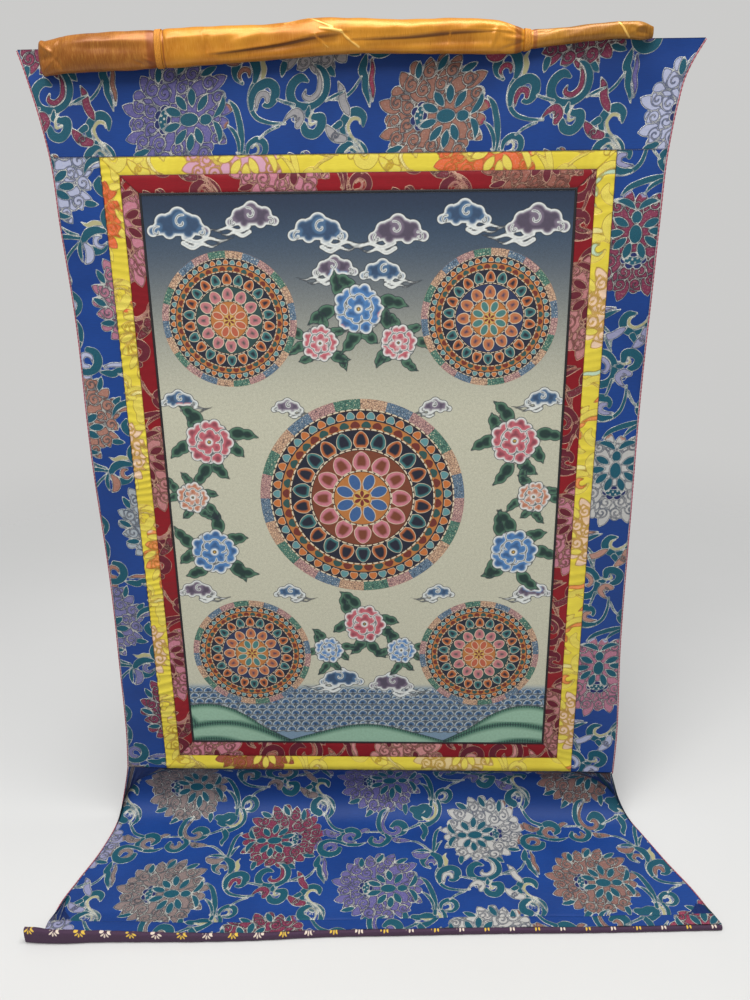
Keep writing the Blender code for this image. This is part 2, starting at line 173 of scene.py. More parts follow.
def smooth_curve(keys, values, at):
    """Reads a smooth curve that passes through the values at their keys."""
    slopes = np.gradient(values, keys)
    at = np.clip(np.asarray(at, dtype=float), keys[0], keys[-1])
    left = np.clip(np.searchsorted(keys, at) - 1, 0, len(keys) - 2)
    span = keys[left + 1] - keys[left]
    part = (at - keys[left]) / span
    leaving = part * (1.0 - part) ** 2 * span * slopes[left]
    arriving = part * part * (1.0 - part) * span * slopes[left + 1]
    return between(values[left], values[left + 1], ramp(0.0, 1.0, part)) + leaving - arriving


def along_stroke(points):
    """Points a millimetre apart on a smooth curve through a stroke's points (x, y, half width)."""
    rows = np.array(points, dtype=float)
    if len(rows) == 1:
        return rows
    steps = np.hypot(np.diff(rows[:, 0]), np.diff(rows[:, 1]))
    reach = np.concatenate([[0.0], np.cumsum(steps)])
    at = np.linspace(0.0, reach[-1], max(4, round(reach[-1])))
    x, y, half = (smooth_curve(reach, column, at) for column in rows.T)
    return np.stack([x, y, np.maximum(half, 0.05)], axis=-1)


def draw(chart, thread, points, owner=(0.0, 0.0), outlined=True):
    """Draws one stroke over what is there. A chart repeats, so a stroke may cross its edge."""
    path = along_stroke(points)
    margin = path[:, 2].max() + OUTLINE_REACH
    cells = []
    for axis, size in enumerate(chart["cell"]):
        first = math.floor((path[:, axis].min() - margin) / size)
        last = math.ceil((path[:, axis].max() + margin) / size)
        cells.append(np.arange(first, last))
    columns, rows = cells
    x, y = (columns + 0.5) * chart["cell"][0], (rows + 0.5) * chart["cell"][1]
    window = np.ix_(rows % chart["line"].shape[0], columns % chart["line"].shape[1])

    def keep(field, where, values):
        chart[field][window] = np.where(where, values, chart[field][window])

    off_x = x[None, :, None] - path[:, 0]
    off_y = y[:, None, None] - path[:, 1]
    reach = np.hypot(off_x, off_y)
    away = reach - path[:, 2]
    nearest = away.argmin(axis=-1)[..., None]
    away, off_x, off_y, reach = (
        np.take_along_axis(field, nearest, axis=-1)[..., 0] for field in (away, off_x, off_y, reach)
    )
    apart = np.abs(away)
    closer = apart < chart["line"][window]
    if thread != "line":
        for other in THREADS:
            if other == thread:
                chart[other][window] = np.minimum(chart[other][window], away)
            else:
                chart[other][window] = np.maximum(chart[other][window], -away)
        covered = -away > chart["line"][window]
        closer = covered | closer if outlined else covered
        keep("owner_x", away < NEAR_A_FLOWER, owner[0] - x[None, :])
        keep("owner_y", away < NEAR_A_FLOWER, owner[1] - y[:, None])
    share = -away / np.maximum(reach, 1e-6)
    keep("line", closer, apart)
    keep("line_x", closer, share * off_x)
    keep("line_y", closer, share * off_y)


def curl(chart, middle, radius, start, turns):
    """A line that winds inwards."""
    points = []
    for part in np.linspace(0.0, 1.0, 13):
        angle = start + turns * FULL_TURN * part
        reach = radius * (1.0 - 0.82 * part)
        points.append((middle[0] + reach * math.cos(angle), middle[1] + reach * math.sin(angle), 0.0))
    draw(chart, "line", points)


def read_chart(chart, field, x, y, nearest=False):
    """The chart's value at points in millimetres."""
    values = chart[field]
    high, wide = values.shape
    column = x / chart["cell"][0] - 0.5
    row = y / chart["cell"][1] - 0.5
    if nearest:
        return values[np.rint(row).astype(int) % high, np.rint(column).astype(int) % wide]
    left = np.floor(column).astype(int)
    low = np.floor(row).astype(int)
    first, second = (
        between(values[line % high, left % wide], values[line % high, (left + 1) % wide], column - left)
        for line in (low, low + 1)
    )
    return between(first, second, row - low)


def srgb(red, green, blue):
    """A colour given in 0 to 255, as the renderer's linear colour."""
    share = np.array([red, green, blue]) / 255.0
    linear = np.where(share <= 0.04045, share / 12.92, ((share + 0.055) / 1.055) ** 2.4)
    return (*[float(value) for value in linear], 1.0)


def weave_in(cloth, chart, x, y, tints):
    """Stores the chart's threads on a cloth's points. Each flower has the nearest tint's colour."""
    owner_x = x + read_chart(chart, "owner_x", x, y, nearest=True)
    owner_y = y + read_chart(chart, "owner_y", x, y, nearest=True)
    places = np.array([row[:2] for row in tints], dtype=float)
    away = (owner_x[:, None] - places[:, 0]) ** 2 + (owner_y[:, None] - places[:, 1]) ** 2
    colours = np.array([srgb(*row[-1]) for row in tints])[np.argmin(away, axis=1)]
    store(cloth.data, "tint", "FLOAT_COLOR", colours)
    store(cloth.data, "cream", "FLOAT", read_chart(chart, "cream", x, y))
    for title, fields in (
        ("figures", ("flower", "leaf", "navy")),
        ("outlines", ("line_x", "line_y", "line")),
    ):
        rows = np.stack([read_chart(chart, field, x, y) for field in fields], axis=-1)
        store(cloth.data, title, "FLOAT_VECTOR", rows)


MIDDLE = PAINTING_WIDE / 2.0 * MM
PEONY_BLUE = (78, 128, 182)
PEONY_PINK = (196, 98, 108)
PEONY_PEACH = (198, 128, 96)
PEONIES = []
for aside, down, radius, colour in (
    # aside of the painting's middle, down from its top, radius, colour
    (0.0, 116.0, 30.0, PEONY_BLUE),
    (42.0, 152.0, 22.0, PEONY_PINK),
    (170.0, 262.0, 30.0, PEONY_PINK),
    (174.0, 396.0, 31.0, PEONY_BLUE),
    (194.0, 328.0, 21.0, PEONY_PEACH),
    (0.0, 490.0, 28.0, PEONY_PINK),
    (44.0, 526.0, 20.0, PEONY_BLUE),
):
    for across in sorted({MIDDLE - aside, MIDDLE + aside}):
        PEONIES.append((across, down, radius, colour))
PEONY_LEAF = ((0.85, 3.0), (1.12, 6.0), (1.28, 3.6), (1.42, 5.0), (1.56, 2.6), (1.78, 0.5))
PEONY_RINGS = (
    # share of the radius, petals, petal size as a share
    (0.56, 5, 0.46),
    (0.20, 3, 0.40),
)


def peony(chart, x, y, radius, leaves=7):
    """A peony with toothed leaves behind it and ruffled petals."""

    def out(turn, far, aside=0.0):
        """A point far from the flower's heart, and aside of that line, in shares of its radius."""
        across = x + radius * (far * math.cos(turn) - aside * math.sin(turn))
        return (across, y + radius * (far * math.sin(turn) + aside * math.cos(turn)))

    for index in range(leaves):
        angle = FULL_TURN * (index + 0.25) / leaves + 0.35 * math.sin(2.3 * index + x)
        bend = 0.30 * (-1) ** index
        long = 0.92 + 0.14 * math.sin(1.7 * index + y)
        blade = []
        for far, wide in PEONY_LEAF:
            blade.append((*out(angle + bend * (far - 0.8), far * long), wide * radius / 24.0))
        draw(chart, "leaf", blade, (x, y))
        draw(chart, "line", [(*point[:2], 0.0) for point in blade[1:5]])
    for ring, count, size in PEONY_RINGS:
        for index in range(count):
            angle = FULL_TURN * (index + 1.7 * ring) / count + 0.12 * math.sin(5.0 * index + x)
            for aside in (-0.62, 0.62, 0.0):
                ruffle = out(angle, ring + size * (0.34 - 0.5 * abs(aside)), aside * size)
                draw(chart, "flower", [(*ruffle, 0.48 * size * radius)], (x, y))
            body = [(*out(angle, ring - 0.16 * size), 0.76 * size * radius)]
            draw(chart, "flower", body, (x, y), outlined=False)
    draw(chart, "cream", [(x, y, 0.07 * radius)], (x, y))


BLUE_CLOUD = (74, 108, 142)
MAUVE_CLOUD = (118, 104, 122)
CLOUDS = (
    # across, down, size, leaning, colour
    (36.0, 30.0, 0.95, 1.0, BLUE_CLOUD),
    (112.0, 22.0, 0.80, -1.0, MAUVE_CLOUD),
    (180.0, 36.0, 0.90, 1.0, BLUE_CLOUD),
    (262.0, 38.0, 0.90, -1.0, MAUVE_CLOUD),
    (330.0, 22.0, 0.80, 1.0, BLUE_CLOUD),
    (404.0, 30.0, 0.95, -1.0, MAUVE_CLOUD),
    (196.0, 74.0, 0.70, -1.0, MAUVE_CLOUD),
    (246.0, 78.0, 0.70, 1.0, BLUE_CLOUD),
    (20.0, 214.0, 0.62, 1.0, BLUE_CLOUD),
    (420.0, 214.0, 0.62, -1.0, BLUE_CLOUD),
    (140.0, 222.0, 0.52, 1.0, MAUVE_CLOUD),
    (302.0, 222.0, 0.52, -1.0, MAUVE_CLOUD),
    (22.0, 446.0, 0.66, 1.0, MAUVE_CLOUD),
    (418.0, 446.0, 0.66, -1.0, MAUVE_CLOUD),
    (132.0, 448.0, 0.55, 1.0, BLUE_CLOUD),
    (308.0, 448.0, 0.55, -1.0, BLUE_CLOUD),
    (190.0, 566.0, 0.80, -1.0, BLUE_CLOUD),
    (252.0, 572.0, 0.80, 1.0, MAUVE_CLOUD),
)
CLOUD_TAIL = ((4.0, 12.0, 2.6), (18.0, 17.0, 2.6), (32.0, 13.0, 2.0), (46.0, 16.0, 1.4), (60.0, 12.0, 0.4))
CLOUD_BODY = ((-25.0, 4.0, 6.0), (-14.0, -1.0, 10.5), (0.0, -3.0, 13.5), (14.0, -1.0, 10.5), (25.0, 5.0, 6.0))
CLOUD_PUFFS = (
    # across, down, radius
    (0.0, -10.0, 10.5),
    (-17.0, -4.0, 9.5),
    (17.0, -3.0, 9.0),
    (-29.0, 5.0, 6.5),
    (28.0, 6.0, 6.5),
    (-11.0, 6.0, 8.0),
    (10.0, 6.5, 8.0),
)
CLOUD_CURLS = ((-24.0, 6.0, 6.0, -0.9), (3.0, -4.0, 8.0, -0.8), (24.0, 7.0, 5.0, 0.9))


def cloud(chart, x, y, size, lean):
    """A cloud of curled puffs, with two tails that trail to one side."""

    def puff(points, drop=0.0, reach=1.0):
        placed = [(x + lean * a * size * reach, y + (b + drop) * size, c * size) for a, b, c in points]
        draw(chart, "flower", placed, (x, y), outlined=False)

    puff(CLOUD_TAIL, 6.0, 0.75)
    puff(CLOUD_TAIL)
    puff(CLOUD_BODY)
    for point in CLOUD_PUFFS:
        puff([point])
    for across, down, radius, turns in CLOUD_CURLS:
        middle = (x + lean * across * size, y + down * size)
        curl(chart, middle, radius * size, -1.2 if lean > 0.0 else math.pi + 1.2, turns * lean)


def wave_rows(chart):
    """Low waves with curled crests between the hills."""
    for row in range(8):
        down = 583.0 + 8.0 * row
        for index in range(37):
            x = 12.0 * index + 6.0 * (row % 2)
            draw(chart, "navy", [(x - 6.0, down + 4.0, 1.2), (x, down, 4.0), (x + 6.0, down + 4.0, 1.2)])
            curl(chart, (x, down + 0.5), 2.4, 0.5, 0.8)


HILLS = (
    # points along each hill: across, down, half its height. Each is drawn with its mirror image
    ((-20.0, 654.0, 40.0), (24.0, 646.0, 42.0), (80.0, 668.0, 32.0), (150.0, 690.0, 18.0)),
    ((90.0, 696.0, 26.0), (160.0, 680.0, 34.0), (220.0, 670.0, 38.0), (280.0, 680.0, 34.0),
        (350.0, 696.0, 26.0)),
    ((-20.0, 676.0, 34.0), (50.0, 674.0, 42.0), (110.0, 688.0, 32.0), (170.0, 704.0, 16.0)),
    ((-20.0, 694.0, 30.0), (30.0, 694.0, 38.0), (70.0, 700.0, 30.0), (110.0, 708.0, 16.0)),
)
HILLS_OWNER = (MIDDLE, 700.0)
# The chart is larger than the painting, so that nothing comes back in at the other side.
painting_chart = new_chart(wide=490.0, high=740.0, cell=1.0)
wave_rows(painting_chart)
for hill in HILLS:
    draw(painting_chart, "leaf", hill, HILLS_OWNER)
    draw(painting_chart, "leaf", [(2.0 * MIDDLE - x, y, half) for x, y, half in hill], HILLS_OWNER)
for across, down, size, lean, _ in CLOUDS:
    cloud(painting_chart, across, down, size, lean)
for across, down, radius, _ in PEONIES:
    peony(painting_chart, across, down, radius)

painting, flat = sew(
    "painting_dressed",
    lambda across, up: (
        between(-0.5, 0.5, across) * (PAINTING_WIDE - SEAM_GAP),
        between(-0.5, 0.5, up) * (PAINTING_HIGH - SEAM_GAP) - CENTRE_BELOW_TOP,
    ),
    face_cells=(250, 372),
    back_cells=(14, 20),
    thickness=CANVAS_THICK,
    hang=hang_upright,
)
from_left = flat[:, 0] + MIDDLE
from_top = (PAINTING_HIGH / 2.0 - CENTRE_BELOW_TOP) * MM - flat[:, 1]
weave_in(painting, painting_chart, from_left, from_top, (*PEONIES, *CLOUDS))


class Varying:
    """A number, place or colour that changes over a surface: one output of a shader node."""

    def __init__(self, tree, socket):
        self.tree = tree
        self.socket = socket

    def __add__(self, other):
        return calc("ADD", self, other)

    def __sub__(self, other):
        return calc("SUBTRACT", self, other)

    def __rsub__(self, other):
        return calc("SUBTRACT", other, self)

    def __mul__(self, other):
        return calc("MULTIPLY", self, other)

    def __truediv__(self, other):
        return calc("DIVIDE", self, other)

    def __abs__(self):
        return calc("ABSOLUTE", self)

    def fade(self, start, end, low=0.0, high=1.0):
        """Goes smoothly from low at start to high at end."""
        given = (self, start, end, low, high)
        return add_node(self.tree, "MapRange", given, interpolation_type="SMOOTHSTEP")

    def below(self, edge, soft=0.35):
        """1 where it is below edge."""
        return self.fade(edge - soft, edge + soft, 1.0, 0.0)

    def odd(self):
        """1 where a whole number is odd."""
        return calc("FRACT", self * 0.5) * 2.0

    def wave(self, pitch):
        return calc("SINE", self * (FULL_TURN / pitch))

    def parts(self):
        """The three numbers of a place."""
        separate = add_node(self.tree, "SeparateXYZ", [self]).socket.node
        return [Varying(self.tree, socket) for socket in separate.outputs]


def feed(socket, value):
    """Links a socket to what varies, or gives it a plain number, vector or colour."""
    if isinstance(value, Varying):
        value.tree.links.new(value.socket, socket)
    elif isinstance(value, tuple) and socket.type == "RGBA":
        socket.default_value = srgb(*value)
    else:
        socket.default_value = value


def add_node(tree, kind, given=(), output=0, **settings):
    """Adds a shader node with its settings and its inputs, and gives one of its outputs."""
    node = tree.nodes.new(f"ShaderNode{kind}")
    for name, setting in settings.items():
        setattr(node, name, setting)
    for key, value in given.items() if isinstance(given, dict) else enumerate(given):
        feed(node.inputs[key], value)
    return Varying(tree, node.outputs[output])


def calc(operation, *given):
    """One sum on numbers, at least one of which varies."""
    tree = next(value.tree for value in given if isinstance(value, Varying))
    return add_node(tree, "Math", given, operation=operation)


def least(first, *others):
    for other in others:
        first = calc("MINIMUM", first, other)
    return first


def blend(share, first, second, way="MIX"):
    """Mixes two colours."""
    return add_node(share.tree, "Mix", {0: share, 6: first, 7: second}, 2, data_type="RGBA", blend_type=way)


def around(across, up):
    """How far a place is from the middle, and its angle."""
    return calc("SQRT", across * across + up * up), calc("ARCTAN2", up, across) + math.pi


def noise(where, scale, detail=2.0, rough=0.5):
    given = {"Vector": where, "Scale": scale, "Detail": detail, "Roughness": rough}
    return add_node(where.tree, "TexNoise", given)


def attribute(tree, name, output):
    return add_node(tree, "Attribute", (), output, attribute_name=name)


def flat_place(tree):
    """The flat cloth's own millimetres."""
    return add_node(tree, "UVMap", uv_map="flat_millimetres")


def outputs_of(tree, sockets):
    return {socket.name: Varying(tree, socket) for socket in sockets if socket.name}


def use_group(group, given):
    """Places a shader group, whose inputs are given by name. At least one of them varies."""
    tree = next(value.tree for value in given.values() if isinstance(value, Varying))
    node = tree.nodes.new("ShaderNodeGroup")
    node.node_tree = group
    for name, value in given.items():
        feed(node.inputs[name], value)
    return outputs_of(tree, node.outputs)


def new_group(name, takes, gives):
    """An empty shader group. takes and gives hold its sockets' names, by their kind."""
    tree = bpy.data.node_groups.new(name, "ShaderNodeTree")
    for way, sockets in (("INPUT", takes), ("OUTPUT", gives)):
        for kind, titles in sockets.items():
            for title in titles:
                tree.interface.new_socket(title, in_out=way, socket_type=f"NodeSocket{kind}")
    given = outputs_of(tree, tree.nodes.new("NodeGroupInput").outputs)
    return tree, given, tree.nodes.new("NodeGroupOutput").inputs


def new_look(name, roughness):
    """A new material with its node tree and its shader's inputs."""
    look = bpy.data.materials.new(name)
    look.use_nodes = True
    shader = look.node_tree.nodes["Principled BSDF"].inputs
    shader["Roughness"].default_value = roughness
    return look, look.node_tree, shader


def finish_with(shader, colour, height, deep, strength=1.0):
    """Gives a material its colour, and a relief of threads that is deep metres from low to high."""
    feed(shader["Base Color"], colour)
    given = {"Strength": strength, "Distance": deep, "Height": height}
    feed(shader["Normal"], add_node(colour.tree, "Bump", given))


def make_plain_weave():
    """Threads that cross: Height and a lighter and darker Shade about 0.5."""
    tree, takes, gives = new_group(
        "plain weave", {"Vector": ("Place",), "Float": ("Pitch",)}, {"Float": ("Height", "Shade")}
    )
    across, down, _ = takes["Place"].parts()
    turn = calc("DIVIDE", FULL_TURN, takes["Pitch"])
    cross = calc("SINE", across * turn) * calc("SINE", down * turn)
    feed(gives["Height"], cross * 0.5 + 0.5)
    feed(gives["Shade"], cross * 0.12 + noise(takes["Place"], 0.35, 3.0))
    return tree


plain_weave = make_plain_weave()


def make_outline_distance():
    """How far the nearest drawn outline is. Close to it the way there is read, which stays sharp."""
    tree, takes, gives = new_group("outline distance", {"Vector": ("Outlines",)}, {"Float": ("Distance",)})
    over, down, apart = takes["Outlines"].parts()
    exact = calc("SQRT", over * over + down * down)
    wider = calc("MAXIMUM", apart, exact) - exact
    feed(gives["Distance"], wider * apart.fade(0.8, 1.3) + exact)
    return tree


outline_distance = make_outline_distance()


def make_petal_ring():
    """A ring of pointed petals about a centre, from its Inner to its Outer radius."""
    tree, takes, gives = new_group(
        "ring of petals",
        {"Float": ("Radius", "Angle", "Inner", "Outer", "Count", "Turn")},
        {"Float": ("Petal", "Depth", "Other")},
    )
    radius, angle, inner, outer, count, turn = takes.values()
    place = angle / FULL_TURN * count + turn
    side = abs(calc("FRACT", place) - 0.5)
    out = least(calc("MAXIMUM", (radius - inner) / (outer - inner), 0.0), 1.0)
    point = calc("POWER", 1.0 - calc("POWER", out, 2.6), 0.75)
    half = point * out.fade(0.0, 0.35, 0.72, 1.0) * 0.5
    gap = (half - side) * (radius * FULL_TURN / count)
    depth = least(gap, radius - inner, outer - radius)
    feed(gives["Petal"], depth.fade(0.1, 0.6))
    feed(gives["Depth"], depth)
    feed(gives["Other"], calc("FLOOR", place).odd())
    return tree


petal_ring = make_petal_ring()


def petals_at(radius, angle, inner, outer, count, turn=0.0):
    names = ("Radius", "Angle", "Inner", "Outer", "Count", "Turn")
    return use_group(petal_ring, dict(zip(names, (radius, angle, inner, outer, count, turn))))


WHEEL_PALE = (222, 206, 176)
WHEEL_DARK = (24, 28, 46)
WHEEL_GOLD = (186, 118, 58)
BELT_COLOURS = ((104, 130, 152), (206, 166, 134), (84, 132, 112), (190, 146, 140))


def make_flower_wheel():
    """A wheel of rings about Middle, Size millimetres in radius, in four colours."""
    tree, takes, gives = new_group(
        "flower wheel",
        {"Vector": ("Place", "Middle"), "Float": ("Size",), "Color": ("Ground", "Ring", "Petal", "Other")},
        {"Color": ("Colour",), "Float": ("Wheel",)},
    )
    place, middle, size, colour, ring_colour, petal_colour, other_colour = takes.values()
    across, up, _ = add_node(tree, "VectorMath", (place, middle), operation="SUBTRACT").parts()
    radius, angle = around(across, up)

    def ring(inner, outer, count, turn=0.0):
        return petals_at(radius, angle, size * inner, size * outer, count, turn)

    def band(inner, outer, under, over):
        """Lays a band's colour over the wheel so far."""
        inside = (radius - size * inner).fade(-0.3, 0.3) * (radius - size * outer).below(0.0, 0.3)
        return blend(inside, under, over)

    # outer belt of greyed sectors, speckled like scales
    sectors = tree.nodes.new("ShaderNodeValToRGB")
    sectors.color_ramp.interpolation = "CONSTANT"
    feed(sectors.inputs[0], calc("FRACT", angle / FULL_TURN * 6.0))
    stops = sectors.color_ramp.elements
    for index, shade in enumerate(BELT_COLOURS):
        stop = stops[index] if index < 2 else stops.new(index / 4.0)
        stop.position = index / 4.0
        stop.color = srgb(*shade)
    cells = add_node(tree, "TexVoronoi", {"Vector": place, "Scale": 0.42}, feature="DISTANCE_TO_EDGE")
    greyed = Varying(tree, sectors.outputs[0])
    belt = blend(cells.fade(0.02, 0.10).fade(0.0, 1.0, 0.75, 0.0), greyed, WHEEL_DARK)
    colour = band(0.89, 1.0, colour, blend(cells.fade(0.22, 0.36, 0.0, 0.6), belt, WHEEL_PALE))
    # dark band with small flames
    flames = ring(0.80, 0.882, 54.0)
    flame = blend(flames["Other"], (196, 112, 54), (96, 146, 150))
    flame = blend(flames["Depth"].fade(0.3, 1.3), WHEEL_PALE, flame)
    colour = band(0.79, 0.89, colour, blend(flames["Petal"], WHEEL_DARK, flame))
    # gold band with small leaves
    leaves = ring(0.715, 0.785, 44.0)
    leaf = blend(leaves["Other"], (42, 82, 78), (112, 44, 34))
    colour = band(0.70, 0.79, colour, blend(leaves["Petal"], WHEEL_GOLD, leaf))
    # dark band with two-coloured petals
    petals = ring(0.515, 0.690, 22.0)
    inked = blend(petals["Other"], (190, 104, 52), (60, 118, 118))
    inked = blend(petals["Depth"].fade(2.0, 5.0), inked, WHEEL_DARK)
    inked = blend(petals["Depth"].fade(0.4, 1.5), WHEEL_PALE, inked)
    colour = band(0.50, 0.70, colour, blend(petals["Petal"], WHEEL_DARK, inked))
    # large petals on the ring's colour
    large = ring(0.29, 0.485, 12.0, 0.5)
    petal = blend(large["Depth"].fade(3.0, 7.0), petal_colour, ring_colour)
    petal = blend(large["Depth"].fade(0.4, 1.7), WHEEL_PALE, petal)
    colour = band(0.28, 0.50, colour, blend(large["Petal"], ring_colour, petal))
    # the open flower in the middle
    small = ring(0.09, 0.27, 8.0)
    inner = blend(small["Depth"].fade(0.4, 1.8), WHEEL_PALE, other_colour)
    colour = band(0.0, 0.28, colour, blend(small["Petal"], WHEEL_GOLD, inner))
    heart = ring(0.0, 0.085, 6.0)
    colour = band(0.0, 0.085, colour, blend(heart["Petal"], (210, 170, 90), (120, 40, 36)))
    # a dark line with pale beads round each band
    for part in (0.28, 0.50, 0.70, 0.89):
        colour = band(part - 0.008, part + 0.012, colour, (58, 30, 24))
        colour = blend(ring(part - 0.004, part + 0.016, 100.0 * part)["Petal"], colour, WHEEL_PALE)
    feed(gives["Colour"], colour)
    feed(gives["Wheel"], (radius - size).below(0.0))
    return tree


flower_wheel = make_flower_wheel()

CORNER_WHEEL = (138.0, 202.0)
MIDDLE_SIZE = 116.0
CORNER_SIZE = 72.0
WHEEL_COLOURS = {
    # wheels: ground, ring, petal, other
    "middle": ((184, 122, 66), (122, 62, 38), (202, 122, 134), (58, 96, 148)),
    "rising": ((184, 122, 66), (38, 50, 84), (192, 116, 72), (70, 124, 120)),
    "falling": ((184, 122, 66), (40, 70, 68), (194, 122, 124), (186, 94, 66)),
}


def painted_look():
    look, tree, shader = new_look("gum paint on cotton", roughness=0.72)
    place = flat_place(tree)
    across, up, _ = place.parts()
    height = up + CENTRE_BELOW_TOP * MM
    flower, leaf, navy = attribute(tree, "figures", "Vector").parts()
    line = use_group(outline_distance, {"Outlines": attribute(tree, "outlines", "Vector")})["Distance"]
    # a sky that darkens upwards, over pale water
    sky = blend(height.fade(90.0, 300.0), (206, 203, 180), (58, 78, 100))
    sky = blend(height.fade(280.0, 329.0), sky, (36, 52, 76))
    ground = blend(height.fade(-243.0, -254.0), sky, (128, 154, 174))
    stipple = noise(place, 1.3, 4.0, 0.75).fade(0.42, 0.68, 0.0, 0.42)
    ground = blend(stipple, ground, (92, 104, 104), "MULTIPLY")
    # petals and clouds, pale at their rims
    inner = abs(flower)
    edge = least(line, inner)
    white_rim = least(line.fade(0.5, 1.8), inner.fade(0.8, 3.8))
    petal = blend(white_rim, (224, 226, 220), attribute(tree, "tint", "Color"))
    petal = blend(edge.fade(2.0, 5.5, 0.0, 0.6), petal, (84, 84, 116), "MULTIPLY")
    # leaves, and hills with tufts of grass
    grass = blend(abs(leaf).fade(0.6, 4.0), (84, 122, 98), (26, 54, 48))
    hill = blend(line.fade(1.0, 8.5), (70, 116, 96), (150, 186, 160))
    tufts = across.wave(3.2).fade(0.1, 0.5) * line.fade(2.4, 3.4, 0.8, 0.0)
    grass = blend(height.fade(-258.0, -266.0), grass, blend(tufts, hill, (34, 62, 56)))
    water = blend(abs(navy).fade(0.5, 2.2), (206, 214, 212), (62, 100, 140))
    colour = blend(navy.below(0.0), ground, water)
    colour = blend(leaf.below(0.0), colour, grass)
    colour = blend(flower.below(0.0), colour, petal)
    colour = blend(attribute(tree, "cream", "Fac").below(0.0), colour, (222, 176, 84))
    inked = least(line, abs(leaf), edge).below(0.40) * 0.85
    colour = blend(inked, colour, (30, 38, 50))
    # one group draws the middle wheel and the four at the corners
    central = calc("LESS_THAN", around(across, height)[0], MIDDLE_SIZE + 2.0)
    beyond = 1.0 - central
    rising = calc("GREATER_THAN", across * height, 0.0)
    wheel_middle = (
        calc("SIGN", across) * beyond * CORNER_WHEEL[0],
        calc("SIGN", height) * beyond * CORNER_WHEEL[1],
    )
    given = {
        "Place": add_node(tree, "CombineXYZ", (across, height)),
        "Middle": add_node(tree, "CombineXYZ", wheel_middle),
        "Size": central * (MIDDLE_SIZE - CORNER_SIZE) + CORNER_SIZE,
    }
    shades = zip(*(WHEEL_COLOURS[kind] for kind in ("falling", "rising", "middle")))
    for name, (low, high, main) in zip(("Ground", "Ring", "Petal", "Other"), shades):
        given[name] = blend(central, blend(rising, low, high), main)
    wheel = use_group(flower_wheel, given)
    colour = blend(wheel["Wheel"], colour, wheel["Colour"])
    weave = use_group(plain_weave, {"Place": place, "Pitch": 0.9})
    aged = blend(weave["Shade"].fade(0.25, 0.75, 0.0, 0.18), colour, (150, 140, 110), "MULTIPLY")
    finish_with(shader, aged, weave["Height"], deep=0.00008)
    return look


LINING_REPEAT = (28.0, 24.0)
LINING_SHIFT = 14.0


def lining_look():
    """Plum cotton, printed with small daisies."""
    look, tree, shader = new_look("printed lining cotton", roughness=0.85)
    place = flat_place(tree)
    across, up, _ = place.parts()
    weave = use_group(plain_weave, {"Place": place, "Pitch": 0.5})
    plum = blend(weave["Shade"].fade(0.3, 0.7), (58, 32, 60), (84, 52, 84))
    rows = up / LINING_REPEAT[1]
    row = calc("FLOOR", rows)
    columns = (across + row * LINING_SHIFT) / LINING_REPEAT[0]
    in_x = (calc("FRACT", columns) - 0.5) * LINING_REPEAT[0]
    in_y = (calc("FRACT", rows) - 0.5) * LINING_REPEAT[1]
    radius, angle = around(in_x, in_y)
    daisy = petals_at(radius, angle, inner=1.4, outer=7.0, count=8.0)
    bloom = blend((calc("FLOOR", columns) + row).odd(), (222, 214, 200), (214, 160, 48))
    colour = blend(daisy["Petal"], plum, bloom)
    colour = blend(radius.below(1.6, 0.3), colour, (190, 90, 40))
    finish_with(shader, colour, weave["Height"], deep=0.00015)
    return look


def dress(piece, node, slot, *looks):
    """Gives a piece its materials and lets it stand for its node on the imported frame."""
    for look in looks:
        piece.data.materials.append(look)
    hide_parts(node)
    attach(piece, "root")


lining = lining_look()
dress(painting, "painted_canvas", "painted_canvas", painted_look(), lining)

# The black piping: a narrow folded strip of matt black cotton. It is caught in the seam all round
# the painting and stands a little proud of it.
PIPING_WIDE = 0.0024
PIPING_THICK = 0.0026
PIPING_EDGE_THICK = 0.55 * PIPING_THICK
PIPING_CELLS = (60, 90)


def object_place(tree):
    return add_node(tree, "TexCoord", output="Object")


def black_cotton_look():
    look, tree, shader = new_look("black cotton", roughness=0.8)
    thread = noise(object_place(tree), 900.0, 3.0)
    finish_with(shader, blend(thread, (12, 12, 14), (38, 36, 38)), thread, deep=0.0002)
    return look


def piping():
    bm = bmesh.new()
    bmesh.ops.create_grid(bm, x_segments=PIPING_CELLS[0], y_segments=PIPING_CELLS[1], size=0.5)
    field = bm.faces[:]
    rim = [edge for edge in bm.edges if edge.is_boundary]
    across = bm.verts.layers.float.new("across")
    for share in (0.25, 0.75, 1.0):
        grown = bmesh.ops.extrude_edge_only(bm, edges=rim)
        rim = [item for item in grown["geom"] if isinstance(item, bmesh.types.BMEdge)]
        for vert in {vert for edge in rim for vert in edge.verts}:
            vert[across] = share
    bmesh.ops.delete(bm, geom=field, context="FACES")
    backed = bmesh.ops.extrude_face_region(bm, geom=bm.faces[:])
    back = {item for item in backed["geom"] if isinstance(item, bmesh.types.BMVert)}
    for vert in bm.verts:
        away = between(SEAM_GAP / 2.0, PIPING_WIDE - SEAM_GAP / 2.0, vert[across])
        half = (PIPING_EDGE_THICK if vert[across] in (0.0, 1.0) else PIPING_THICK) / 2.0
        x = vert.co.x * (PAINTING_WIDE + 2.0 * away)
        v = vert.co.y * (PAINTING_HIGH + 2.0 * away) - CENTRE_BELOW_TOP
        vert.co = hang_upright(x, v, -half if vert in back else half)
    bmesh.ops.recalc_face_normals(bm, faces=bm.faces)
    return cut_free("piping_dressed", bm)


piped = piping()
piped.data.shade_smooth()
dress(piped, "black_piping", "black_piping", black_cotton_look())

